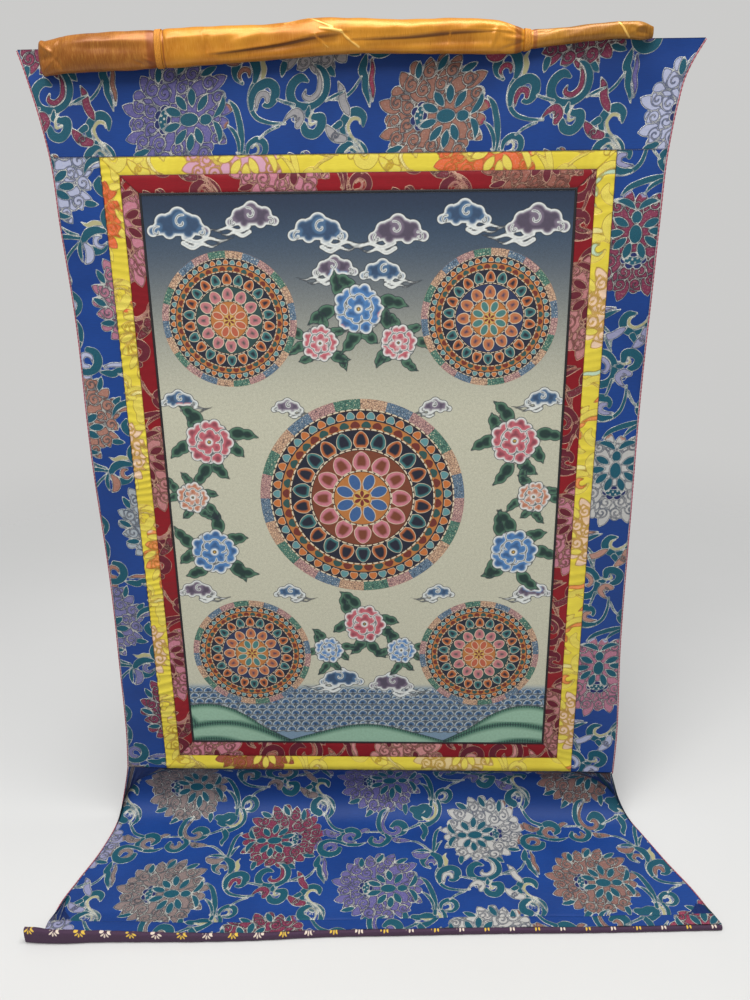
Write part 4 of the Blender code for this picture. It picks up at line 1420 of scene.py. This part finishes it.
blue_panel(
    "blue_top_band",
    top_place,
    face_cells=(640, 104),
    back_cells=(32, 6),
    chart_place=lambda x, height: (
        x - BAND_CHART[0] - BAND_SLANT * (height - BAND_CHART[1]),
        BAND_CHART[1] - height,
    ),
    tints=(
        (LOTUS_A, -1, -1, COPPER, CRIMSON, PURPLE),
        (LOTUS_A, 0, -2, COPPER, PURPLE, COPPER, PALE_LILAC),
        (LOTUS_B, 0, -2, MAROON, SILVER, MAROON, SILVER),
    ),
)
for side, (chart_x, chart_y) in SIDE_CHARTS.items():
    blue_panel(
        f"blue_side_{side}",
        side_place(side),
        face_cells=(46, 600),
        back_cells=(3, 40),
        chart_place=lambda x, height: (height - chart_x, x - chart_y),
        tints=SIDE_TINTS[side],
    )

# The skirt: the long blue cloth below the seam. It falls behind the yellow edge, sweeps forward
# and lies on the surface, and its end is folded back into a pocket for a lower rod.
SEAM_V = -YELLOW_EDGE["bottom"] - CENTRE_BELOW_TOP
SKIRT_OUTLINE = (
    # below the seam, left, right
    (0.0000, 0.3095, 0.3108),
    (0.0165, 0.3138, 0.3122),
    (0.0315, 0.3178, 0.3161),
    (0.0560, 0.3232, 0.3254),
    (0.0760, 0.3246, 0.3352),
    (0.0975, 0.3260, 0.3460),
    (0.1225, 0.3285, 0.3555),
    (0.1470, 0.3322, 0.3640),
    (0.1920, 0.3432, 0.3815),
    (0.2290, 0.3512, 0.3945),
    (0.2800, 0.3500, 0.4120),
)
SKIRT_LEAN = (
    # below, degrees from straight down towards the front
    (0.000, -26.0),
    (0.022, -18.0),
    (0.044, 3.0),
    (0.066, 44.0),
    (0.088, 80.0),
    (0.110, 90.0),
    (0.300, 90.0),
)
HEM_POCKET = 0.0165
HEM_POCKET_RISE = 0.0024
POCKET_STEP = 0.0010
STITCHES_ABOVE_POCKET = 0.0015
FLAT_HEM_THICK = 0.0056
SKIRT_CHART = (28.3, 199.3)
SKIRT_SLANT = 0.055
POCKET_SLIP = (6.0, 9.0)
HEM_FORM = (
    # across, below, binding height
    (-0.3725, 0.2766, 0.0205),
    (-0.3440, 0.2782, 0.0185),
    (-0.2890, 0.2760, 0.0145),
    (-0.2350, 0.2750, 0.0122),
    (-0.1750, 0.2738, 0.0104),
    (-0.1140, 0.2710, 0.0087),
    (-0.0500, 0.2660, 0.0078),
    (0.0490, 0.2618, 0.0072),
    (0.1410, 0.2578, 0.0066),
    (0.2640, 0.2542, 0.0060),
    (0.4000, 0.2482, 0.0056),
)
PROFILE_STEP = 0.001
PROFILE_S = np.arange(0.0, 0.3, PROFILE_STEP)
PROFILE_LEAN = np.radians(np.interp(PROFILE_S, *np.array(SKIRT_LEAN).T))
PROFILE_FRONT = np.cumsum(np.sin(PROFILE_LEAN)) * PROFILE_STEP
PROFILE_DOWN = np.cumsum(np.cos(PROFILE_LEAN)) * PROFILE_STEP


def hem_line(x):
    """The skirt's length below its seam."""
    return through(HEM_FORM, 1, x)


def skirt_relief(x, below):
    """Loose waves in the skirt, a deeper tuck under the seam at the right, and the raised hem."""
    seam = upright_relief(x, -YELLOW_EDGE["bottom"]) * (1.0 - ramp(0.0, 0.012, below))
    tuck = -0.0050 * ramp(0.05, 0.26, x) * bump(0.024, 0.013, below)
    waves = 0.0016 * ramp(0.085, 0.140, below) * (1.0 + np.sin(FULL_TURN * x / 0.23 + 12.0 * below))
    line = hem_line(x)
    turned_up = 0.75 * (through(HEM_FORM, 2, x) - FLAT_HEM_THICK)
    curled = turned_up * ramp(line - 0.038, line - 0.006, below)
    flat_hem = 1.0 - ramp(line - 0.060, line - 0.010, below)
    return seam + tuck + waves * flat_hem + curled


def hang_skirt(x, v, n):
    """Bends points of the flat skirt into the way it hangs and lies."""
    below = SEAM_V - v
    pocket = hem_line(x) - HEM_POCKET
    rise = HEM_POCKET_RISE * ramp(pocket - POCKET_STEP, pocket + POCKET_STEP, below)
    out = n + skirt_relief(x, below) + np.where(n > 0.0, rise, 0.0)
    lean, front, down = (
        np.interp(below, PROFILE_S, profile) for profile in (PROFILE_LEAN, PROFILE_FRONT, PROFILE_DOWN)
    )
    return np.stack([x, -front - out * np.cos(lean), SEAM_V - down + out * np.sin(lean)], axis=-1)


def skirt_place(across, up):
    def x_at(below):
        return between(-through(SKIRT_OUTLINE, 1, below), through(SKIRT_OUTLINE, 2, below), across)

    rough = x_at((1.0 - up) * float(hem_line(0.0)))
    below = between(SEAM_GAP / 2.0, hem_line(rough), 1.0 - up)
    return x_at(below), SEAM_V - below


def skirt_creases(x, v, across, up):
    """Fine slack ripples, and the pocket's stitched line."""
    below = SEAM_V - v
    ripple = 0.0004 * np.sin(x * MM / 14.0 + 3.0 * np.sin(below * MM / 40.0))
    stitches = hem_line(x) - HEM_POCKET - STITCHES_ABOVE_POCKET
    return ripple * ramp(0.01, 0.05, below) - 0.0007 * bump(stitches, 0.0012, below)


skirt, flat = sew(
    "blue_skirt_dressed",
    skirt_place,
    face_cells=(540, 176),
    back_cells=(44, 40),
    thickness=CLOTH_THICK,
    hang=hang_skirt,
    face_relief=skirt_creases,
)
below = SEAM_V * MM - flat[:, 1]
in_pocket = below > (hem_line(flat[:, 0] / MM) - HEM_POCKET) * MM
chart_x = flat[:, 0] - SKIRT_CHART[0] + np.where(in_pocket, POCKET_SLIP[0], 0.0)
slanted = below + SKIRT_SLANT * (flat[:, 0] - 30.0)
chart_y = slanted - SKIRT_CHART[1] + np.where(in_pocket, POCKET_SLIP[1], 0.0)
weave_in(
    skirt,
    brocade,
    chart_x,
    chart_y,
    tint_rows(
        (LOTUS_A, -1, -1, TAN, PURPLE, ROSE_BROWN),
        (LOTUS_A, 0, -1, TAN, PURPLE, ROSE_BROWN),
        (LOTUS_B, 0, -2, LILAC, MAROON, PALE_SILVER, ROSE_BROWN),
        (LOTUS_B, 1, -2, LILAC, MAROON, PALE_SILVER, CRIMSON),
    ),
)
dress(skirt, "blue_skirt", "blue_brocade", blue_look, lining)

# The hem's binding: the printed cotton lining, brought round the end of the skirt and sewn down.
# It stands up where the hem curls at its left end.
BINDING_ENDS = (-0.3715, 0.4000)
DAISY_SPACING = 28.0
DAISY_SHIFT = 352.0
GAP = 0.0003
TUBE_EDGE_ANGLE = math.radians(60.0)


def tube(name, stations, spokes, section):
    """A closed form: section(station, angle) gives its points and a mark, station from 0 to 1."""
    bm = bmesh.new()
    bmesh.ops.create_grid(bm, x_segments=stations, y_segments=spokes, size=0.5)
    mark = bm.verts.layers.float.new("mark")
    shares = np.array([vert.co for vert in bm.verts], dtype=float) + 0.5
    rows = np.stack(section(shares[:, 0], shares[:, 1] * FULL_TURN), axis=-1)
    for vert, row in zip(bm.verts, rows):
        vert.co = row[:3]
        vert[mark] = row[3]
    bmesh.ops.remove_doubles(bm, verts=bm.verts, dist=1e-6)
    bmesh.ops.holes_fill(bm, edges=[edge for edge in bm.edges if edge.is_boundary], sides=0)
    bmesh.ops.recalc_face_normals(bm, faces=bm.faces)
    made = cut_free(name, bm)
    made.data.shade_smooth()
    made.data.set_sharp_from_angle(angle=TUBE_EDGE_ANGLE)
    return made


def rounded(angle, squareness):
    """A point of a rounded square of half width 1."""
    along, over = (np.sign(part) * np.abs(part) ** squareness for part in (np.cos(angle), np.sin(angle)))
    return along, over


def flat_zero(x):
    return np.zeros_like(np.asarray(x, dtype=float))


SURFACE_Z = float(
    hang_skirt(np.zeros(1), np.array([SEAM_V - 0.2]), np.array([-CLOTH_THICK / 2.0]))[0, 2]
    - skirt_relief(np.zeros(1), np.array([0.2]))[0]
)


def binding_section(share, angle):
    x = between(*BINDING_ENDS, share)
    high = through(HEM_FORM, 2, x)
    deep = 0.0034 + 0.20 * high
    along, over = rounded(angle, 0.60)
    front = hang_skirt(x, SEAM_V - hem_line(x), flat_zero(x))[:, 1]
    pull = 1.0 - 0.10 * (0.5 + 0.5 * np.sin(x * MM / 4.2 + 2.0 * np.sin(x * MM / 21.0)))
    y = front - GAP - deep / 2.0 + along * deep / 2.0 * pull
    z = SURFACE_Z + high / 2.0 + over * high / 2.0 * np.where(over > 0.0, pull, 1.0)
    return x, y, z, (z - SURFACE_Z - high) * MM


def binding_look():
    """Plum cotton whose printed daisies are cut by its upper edge."""
    look, tree, shader = new_look("plum hem cotton", roughness=0.85)
    where = object_place(tree)
    across, _, _ = where.parts()
    step = (across * MM + DAISY_SHIFT) / DAISY_SPACING
    in_x = (calc("FRACT", step) - 0.5) * DAISY_SPACING
    in_y = attribute(tree, "mark", "Fac") - across.fade(-0.25, 0.10, 0.0, 4.4)
    radius, angle = around(in_x, in_y)
    daisy = petals_at(radius, angle, inner=1.0, outer=7.0, count=9.0, turn=0.5)
    bloom = blend(calc("FLOOR", step).odd(), (226, 208, 190), (224, 184, 70))
    thread = noise(where, 1400.0, 3.0)
    plum = blend(thread, (48, 28, 50), (82, 54, 80))
    finish_with(shader, blend(daisy["Petal"], plum, bloom), thread, deep=0.0003)
    return look


binding = tube("hem_binding_dressed", stations=500, spokes=16, section=binding_section)
dress(binding, "hem_binding", "lining_cotton", binding_look())

# The edge cords: a thin cord of two pinkish strands, twisted and whipped along each outer edge
# from the top of the band down to the hem.
CORD_RADIUS = 0.0008
CORD_TWIST = 0.0042
CORD_ABOVE_HEM = 0.006
CORD_BELOW_TOP = 0.001
CORD_STEP = 0.0005


def edge_cord(side):
    sign, column = {"left": (-1.0, 1), "right": (1.0, 2)}[side]
    lowest = SEAM_V - float(hem_line(sign * 0.36)) + CORD_ABOVE_HEM

    def path(v):
        upper = through(SIDE_OUTLINE, column, v + CENTRE_BELOW_TOP)
        lower = through(SKIRT_OUTLINE, column, SEAM_V - v)
        x = sign * (np.where(v >= SEAM_V, upper, lower) + CORD_RADIUS + GAP)
        hung = (hang(x, v, flat_zero(v)) for hang in (hang_upright, hang_skirt))
        return np.where((v >= SEAM_V)[:, None], *hung)

    def unit(ways):
        return ways / np.linalg.norm(ways, axis=1)[:, None]

    def section(share, angle):
        v = between(-CORD_BELOW_TOP, lowest, share)
        ahead = unit(path(v - CORD_STEP) - path(v + CORD_STEP))
        side_way = unit(np.cross(ahead, [0.0, -1.0, 0.3]))
        out_way = np.cross(side_way, ahead)
        strand = np.cos(angle - math.pi * v / CORD_TWIST)
        reach = CORD_RADIUS * (0.62 + 0.38 * np.abs(strand))
        ring = side_way * np.cos(angle)[:, None] + out_way * np.sin(angle)[:, None]
        return (*(path(v) + ring * reach[:, None]).T, strand**2)

    return tube(f"edge_cord_{side}_dressed", stations=1000, spokes=6, section=section)


def cord_look():
    look, tree, shader = new_look("twisted pink cord", roughness=0.6)
    # paler on the strands' crests and darker in the grooves between them as painted shade, broken up at
    # random by noise
    strand = attribute(tree, "mark", "Fac") * noise(object_place(tree), 700.0)
    colour = blend(strand.fade(0.10, 0.50), (140, 44, 66), (206, 128, 136))
    finish_with(shader, colour, strand, deep=0.0002)
    return look


cord_finish = cord_look()
for side in ("left", "right"):
    dress(edge_cord(side), f"edge_cord_{side}", "edge_cord", cord_finish)

# The veil: a thin golden satin that covers the painting when it is not shown. Here it is wound up
# along the top edge, pinched by a tape at each side.
VEIL_FORM = (
    # across, lower, upper, depth, crease
    (-0.3055, 0.4450, 0.4660, 0.0070, 0.00),
    (-0.3030, 0.4415, 0.4705, 0.0120, 0.05),
    (-0.2960, 0.4412, 0.4716, 0.0160, 0.12),
    (-0.2880, 0.4418, 0.4728, 0.0175, 0.10),
    (-0.2700, 0.4426, 0.4755, 0.0200, 0.00),
    (-0.2400, 0.4433, 0.4770, 0.0210, 0.00),
    (-0.2100, 0.4441, 0.4781, 0.0205, 0.03),
    (-0.1960, 0.4450, 0.4783, 0.0195, 0.00),
    (-0.1800, 0.4452, 0.4792, 0.0210, 0.03),
    (-0.1300, 0.4482, 0.4810, 0.0215, 0.14),
    (-0.0650, 0.4520, 0.4825, 0.0210, 0.16),
    (-0.0350, 0.4538, 0.4858, 0.0230, 0.02),
    (-0.0050, 0.4552, 0.4854, 0.0225, 0.12),
    (0.0500, 0.4546, 0.4834, 0.0210, 0.20),
    (0.1000, 0.4537, 0.4838, 0.0210, 0.20),
    (0.1400, 0.4530, 0.4806, 0.0190, 0.12),
    (0.1550, 0.4535, 0.4765, 0.0155, 0.00),
    (0.1650, 0.4555, 0.4742, 0.0125, 0.00),
    (0.1760, 0.4575, 0.4738, 0.0130, 0.04),
    (0.2000, 0.4602, 0.4748, 0.0130, 0.00),
    (0.2300, 0.4630, 0.4776, 0.0130, 0.00),
    (0.2570, 0.4644, 0.4790, 0.0130, 0.06),
    (0.2720, 0.4630, 0.4784, 0.0120, 0.14),
    (0.2835, 0.4650, 0.4750, 0.0070, 0.00),
)
VEIL_TAPES = {"left": -0.1850, "right": 0.1650}
TAPE_WIDE = 0.0064
TAPE_THICK = 0.0008
TAPE_PINCH = 0.0013
VEIL_FOLDS = (
    # from across, from up the face (0 low, 1 high), to across, to up, width, height, step, selvage and
    # painted light: pale selvage and painted highlights above 0, painted shade below 0
    (-0.3030, 0.92, -0.2860, 0.48, 0.0018, 0.0014, 0.0, 0.0),
    (-0.3030, 0.10, -0.2860, 0.48, 0.0018, 0.0012, 0.0, 0.0),
    (-0.3020, 0.45, -0.2880, 0.50, 0.0022, -0.0016, 0.0, 0.0),
    (-0.2990, 0.10, -0.2990, 0.90, 0.0030, -0.0008, 0.0, 0.0),
    (-0.2860, 0.48, -0.2780, 0.95, 0.0022, -0.0012, 0.0, 0.0),
    (-0.2860, 0.48, -0.2790, 0.06, 0.0020, -0.0014, 0.0, 0.0),
    (-0.2700, 0.60, -0.1950, 0.52, 0.0034, -0.0008, 0.0, 0.0),
    (-0.2650, 0.78, -0.2000, 0.72, 0.0040, 0.0006, 0.0, 0.0),
    (-0.2070, 0.22, -0.2000, 0.10, 0.0012, -0.0012, 0.0, 0.0),
    (-0.1980, 0.28, -0.1900, 0.16, 0.0014, 0.0010, 0.0, 0.0),
    (-0.1800, 0.98, -0.1760, 0.05, 0.0011, -0.0010, 0.0, 0.0),
    (-0.1740, 0.70, -0.1450, 0.74, 0.0030, 0.0007, 0.0, 0.0),
    (-0.1420, 0.80, -0.1390, 0.10, 0.0016, 0.0008, 0.0, 0.0),
    (-0.1370, 0.66, -0.1400, 0.20, 0.0018, -0.0010, 0.0, 0.0),
    (-0.1280, 0.30, -0.0120, 0.54, 0.0009, 0.0026, 1.0, 0.0),
    (-0.1260, 0.20, -0.0160, 0.40, 0.0036, -0.0014, 0.0, -0.42),
    (-0.1340, 0.05, 0.1340, 0.07, 0.0026, 0.0010, 0.0, 0.44),
    (-0.1200, 0.46, -0.0900, 0.62, 0.0030, 0.0008, 0.0, 0.0),
    (-0.0640, 0.93, -0.0420, 1.00, 0.0010, 0.0008, 0.0, 1.0),
    (-0.0420, 1.00, -0.0180, 0.66, 0.0010, 0.0010, 0.0, 1.0),
    (-0.0300, 0.66, -0.0100, 0.56, 0.0010, 0.0010, 0.0, 1.0),
    (-0.0100, 0.56, 0.0060, 0.18, 0.0010, 0.0010, 0.0, 1.0),
    (-0.0350, 0.52, -0.0230, 0.20, 0.0009, 0.0004, 0.0, 0.7),
    (0.0040, 0.40, 0.1460, 0.66, 0.0008, 0.0022, 1.0, 0.0),
    (0.0140, 0.22, 0.1300, 0.38, 0.0040, -0.0013, 0.0, -0.38),
    (0.0100, 0.62, 0.1200, 0.84, 0.0040, 0.0008, 0.0, 0.0),
    (0.0900, 0.20, 0.0920, 0.60, 0.0010, 0.0003, 0.0, 0.5),
    (0.1120, 0.62, 0.1440, 0.72, 0.0024, -0.0012, 0.0, 0.0),
    (0.1360, 0.72, 0.1300, 0.20, 0.0022, 0.0014, 0.0, 0.0),
    (0.1460, 0.90, 0.1600, 0.60, 0.0016, -0.0012, 0.0, 0.0),
    (0.1400, 0.12, 0.1600, 0.40, 0.0016, -0.0012, 0.0, 0.0),
    (0.1420, 0.50, 0.1600, 0.50, 0.0014, 0.0010, 0.0, 0.0),
    (0.1700, 0.40, 0.2500, 0.40, 0.0022, 0.0006, 0.0, 0.0),
    (0.1720, 0.75, 0.1900, 0.90, 0.0016, -0.0008, 0.0, 0.0),
    (0.2480, 1.00, 0.2600, 0.05, 0.0010, 0.0006, 0.0, 1.0),
    (0.2620, 0.60, 0.2800, 0.25, 0.0018, -0.0012, 0.0, 0.0),
    (0.2620, 0.40, 0.2760, 0.80, 0.0018, 0.0010, 0.0, 0.0),
)


def veil_frame(x, angle, proud):
    """A point of the rolled veil's outline, moved out by proud."""
    low, high, deep, crease = (through(VEIL_FORM, column, x) for column in (1, 2, 3, 4))
    along, over = rounded(angle, 0.86)
    along = along * (1.0 - crease * bump(math.radians(188.0), math.radians(24.0), angle))
    clear = GAP * 2.0 + TAPE_THICK
    face = -upright_relief(x, np.minimum(high, CENTRE_BELOW_TOP)) - CLOTH_THICK / 2.0 - clear
    y = face - deep / 2.0 + along * (deep / 2.0 + proud)
    z = (low + high) / 2.0 + over * ((high - low) / 2.0 + proud) - CENTRE_BELOW_TOP
    return x, y, z


def veil_section(share, angle):
    x = between(VEIL_FORM[0][0], VEIL_FORM[-1][0], share)
    angle = angle + 0.45 * np.sin(angle)
    high = through(VEIL_FORM, 2, x) - through(VEIL_FORM, 1, x)
    facing = 0.5 - 0.5 * np.cos(angle)
    up_face = (0.5 + 0.5 * np.sin(angle)) * high
    wrinkle = np.sin(x * MM / 5.1 + 2.2 * np.sin(angle * 2.0)) * np.sin(x * MM / 23.0 + angle)
    proud = 0.00022 * wrinkle
    # the mark starts as painted shade along the top of the roll; folds add a pale selvage, painted highlights
    # on ridges and painted shade in valleys and under laps
    mark = -0.46 * bump(math.radians(84.0), math.radians(34.0), angle)
    for from_x, from_up, to_x, to_up, width, height, step, selvage_and_painted_light in VEIL_FOLDS:
        run = to_x - from_x
        rise = (to_up - from_up) * high
        off_x = x - from_x
        off_up = up_face - from_up * high
        reached = (off_x * run + off_up * rise) / (run * run + rise * rise)
        part = np.clip(reached, 0.0, 1.0)
        tail = np.exp(-(((reached - part) * run / 0.009) ** 2))
        ends = 0.35 + 0.65 * np.sin(math.pi * np.clip(part, 0.04, 0.96))
        above = (off_up * run - off_x * rise) / math.hypot(run, float(np.mean(rise)))
        lap = ramp(-width, width, above) * np.exp(-np.maximum(above, 0.0) / 0.006) * ends * tail
        ridge = bump(0.0, width, np.hypot(off_x - part * run, off_up - part * rise))
        proud = proud + height * facing * (step * lap + (1.0 - step) * ends * ridge)
        painted_shade_under_lap = step * ends * tail * bump(-1.2 * width, 1.3 * width, above)
        mark = mark + facing * (selvage_and_painted_light * ridge - 0.9 * painted_shade_under_lap)
    for across in VEIL_TAPES.values():
        proud = proud - TAPE_PINCH * bump(across, 0.0052, x)
    return *veil_frame(x, angle, proud), mark


def satin_look():
    look, tree, shader = new_look("golden satin", roughness=0.34)
    where = object_place(tree)
    across, _, _ = where.parts()
    upright_thread = add_node(tree, "Mapping", {"Vector": where, "Scale": (2400.0, 140.0, 140.0)})
    slub = noise(upright_thread, 1.0, 3.0, 0.6)
    cloudy = noise(where, 22.0).fade(0.35, 0.65)
    bronze = blend(cloudy, (134, 74, 20), (172, 104, 32))
    olive = blend(cloudy, (140, 90, 18), (170, 116, 32))
    gold = blend(cloudy, (184, 112, 20), (208, 138, 34))
    colour = blend(across.fade(-0.192, -0.184, 0.9, 0.0), gold, bronze)
    colour = blend(across.fade(0.168, 0.176, 0.0, 0.85), colour, olive)
    colour = blend(slub.fade(0.45, 0.75, 0.0, 0.40), colour, (226, 166, 72))
    colour = blend(slub.fade(0.45, 0.25, 0.0, 0.28), colour, (120, 66, 14))
    # painted shade beside each tape, where it pinches the satin, with a thin painted shadow line right of the
    # left tape
    for middle, reach in ((-0.1915, 0.006), (-0.1795, 0.0012), (0.1560, 0.005), (0.1720, 0.003)):
        colour = blend(abs(across - middle).fade(0.3 * reach, reach, 0.7, 0.0), colour, (128, 56, 12))
    # painted shade along the top of the roll and under its laps where the mark is below 0; where it is above
    # 0, the pale selvage and painted highlights on the lower ridge
    mark = attribute(tree, "mark", "Fac")
    colour = blend(mark.fade(-0.9, -0.1, 0.85, 0.0), colour, (84, 42, 8))
    colour = blend(mark.fade(0.25, 0.75), colour, (244, 192, 96))
    shader["Metallic"].default_value = 0.2
    feed(shader["Roughness"], slub.fade(0.2, 0.8, 0.26, 0.42))
    finish_with(shader, colour, slub, deep=0.0002, strength=0.5)
    return look


veil = tube("veil_roll_dressed", stations=640, spokes=88, section=veil_section)
dress(veil, "veil_roll", "veil_satin", satin_look())


def tape_look():
    """Orange tape with ribbed edges."""
    look, tree, shader = new_look("orange tape", roughness=0.45)
    mark = attribute(tree, "mark", "Fac")
    thread = noise(object_place(tree), 1600.0)
    ribs = calc("SINE", mark * 14.0)
    colour = blend(thread.fade(0.3, 0.7), (214, 128, 30), (240, 168, 60))
    colour = blend(abs(mark).fade(0.80, 0.98, 0.0, 0.6), colour, (150, 66, 16))
    colour = blend(ribs.fade(0.2, 1.0, 0.0, 0.35), colour, (150, 74, 18))
    finish_with(shader, colour, ribs, deep=0.0003)
    return look


def veil_tape(side):
    """A narrow tape tied once around the rolled veil."""

    def section(share, angle):
        wide, thick = rounded(angle, 0.55)
        x = VEIL_TAPES[side] + wide * TAPE_WIDE / 2.0
        proud = GAP - 0.65 * TAPE_PINCH + (1.0 + thick) * TAPE_THICK / 2.0
        return *veil_frame(x, share * FULL_TURN, proud), wide

    return tube(f"veil_tape_{side}_dressed", stations=72, spokes=12, section=section)


tape_finish = tape_look()
for side in VEIL_TAPES:
    dress(veil_tape(side), f"veil_tape_{side}", "orange_tape", tape_finish)

# The studio: a plain pale floor that fades into a pale room, soft lights from above and in
# front, and a camera at the photograph's angle.
FLOOR_REACH = 1.9
FLOOR_FULL = 0.5
FLOOR_BELOW_CLOTH = 0.0006
CAMERA_PLACE = (0.0481, -0.9704, -0.1077)
CAMERA_RIGHT = (0.9995, 0.0298, -0.0128)
CAMERA_UP = (0.0016, 0.3488, 0.9372)
CAMERA_AHEAD = (-0.0324, 0.9367, -0.3485)
CAMERA_LENS = 32.67


def pale_floor():
    bm = bmesh.new()
    bmesh.ops.create_circle(bm, cap_ends=True, segments=96, radius=FLOOR_REACH)
    bmesh.ops.translate(bm, verts=bm.verts, vec=(0.0, 0.0, SURFACE_Z - FLOOR_BELOW_CLOTH))
    floor = cut_free("pale_floor", bm)
    look, tree, shader = new_look("pale paper", roughness=0.9)
    where = object_place(tree)
    x, y, _ = where.parts()
    feed(shader["Base Color"], blend(noise(where, 3.0), (214, 213, 210), (220, 219, 216)))
    feed(shader["Alpha"], around(x, y)[0].fade(FLOOR_FULL, FLOOR_REACH, 1.0, 0.0))
    floor.data.materials.append(look)


def stand(name, data):
    """Puts a light or the camera in the scene."""
    made = bpy.data.objects.new(name, data)
    bpy.context.scene.collection.objects.link(made)
    return made


def soft_light(name, place, target, size, power):
    data = bpy.data.lights.new(name, "AREA")
    data.shape = "RECTANGLE"
    data.size, data.size_y = size
    data.energy = power
    light = stand(name, data)
    light.location = place
    light.rotation_euler = (Vector(target) - Vector(place)).to_track_quat("-Z", "Y").to_euler()


def pale_room(light, backdrop):
    """A room whose walls look paler than the light that they give."""
    world = bpy.data.worlds.new("pale room")
    world.use_nodes = True
    tree = world.node_tree
    glow = tree.nodes["Background"]
    wall = tree.nodes.new("ShaderNodeBackground")
    for node, colour, strength in (
        (glow, (0.92, 0.95, 1.0, 1.0), light),
        (wall, (1.0, 0.995, 0.98, 1.0), backdrop),
    ):
        node.inputs["Color"].default_value = colour
        node.inputs["Strength"].default_value = strength
    is_seen = add_node(tree, "LightPath", output="Is Camera Ray")
    given = (is_seen, Varying(tree, glow.outputs[0]), Varying(tree, wall.outputs[0]))
    feed(tree.nodes["World Output"].inputs["Surface"], add_node(tree, "MixShader", given))
    bpy.context.scene.world = world


def photograph_camera():
    data = bpy.data.cameras.new("photograph")
    data.lens = CAMERA_LENS
    data.clip_start = 0.01
    camera = stand("photograph", data)
    back = tuple(-part for part in CAMERA_AHEAD)
    turned = Matrix((CAMERA_RIGHT, CAMERA_UP, back)).transposed().to_4x4()
    turned.translation = CAMERA_PLACE
    camera.matrix_world = turned
    bpy.context.scene.camera = camera


pale_floor()
soft_light("key_light", (-0.6, -1.5, 1.3), target=(0.0, 0.0, -0.55), size=(1.2, 0.8), power=26.0)
soft_light("top_light", (0.2, -0.45, 1.5), target=(0.0, -0.1, -0.6), size=(1.6, 0.9), power=38.0)
pale_room(light=0.38, backdrop=0.60)
bpy.context.scene.view_settings.view_transform = "Standard"
photograph_camera()
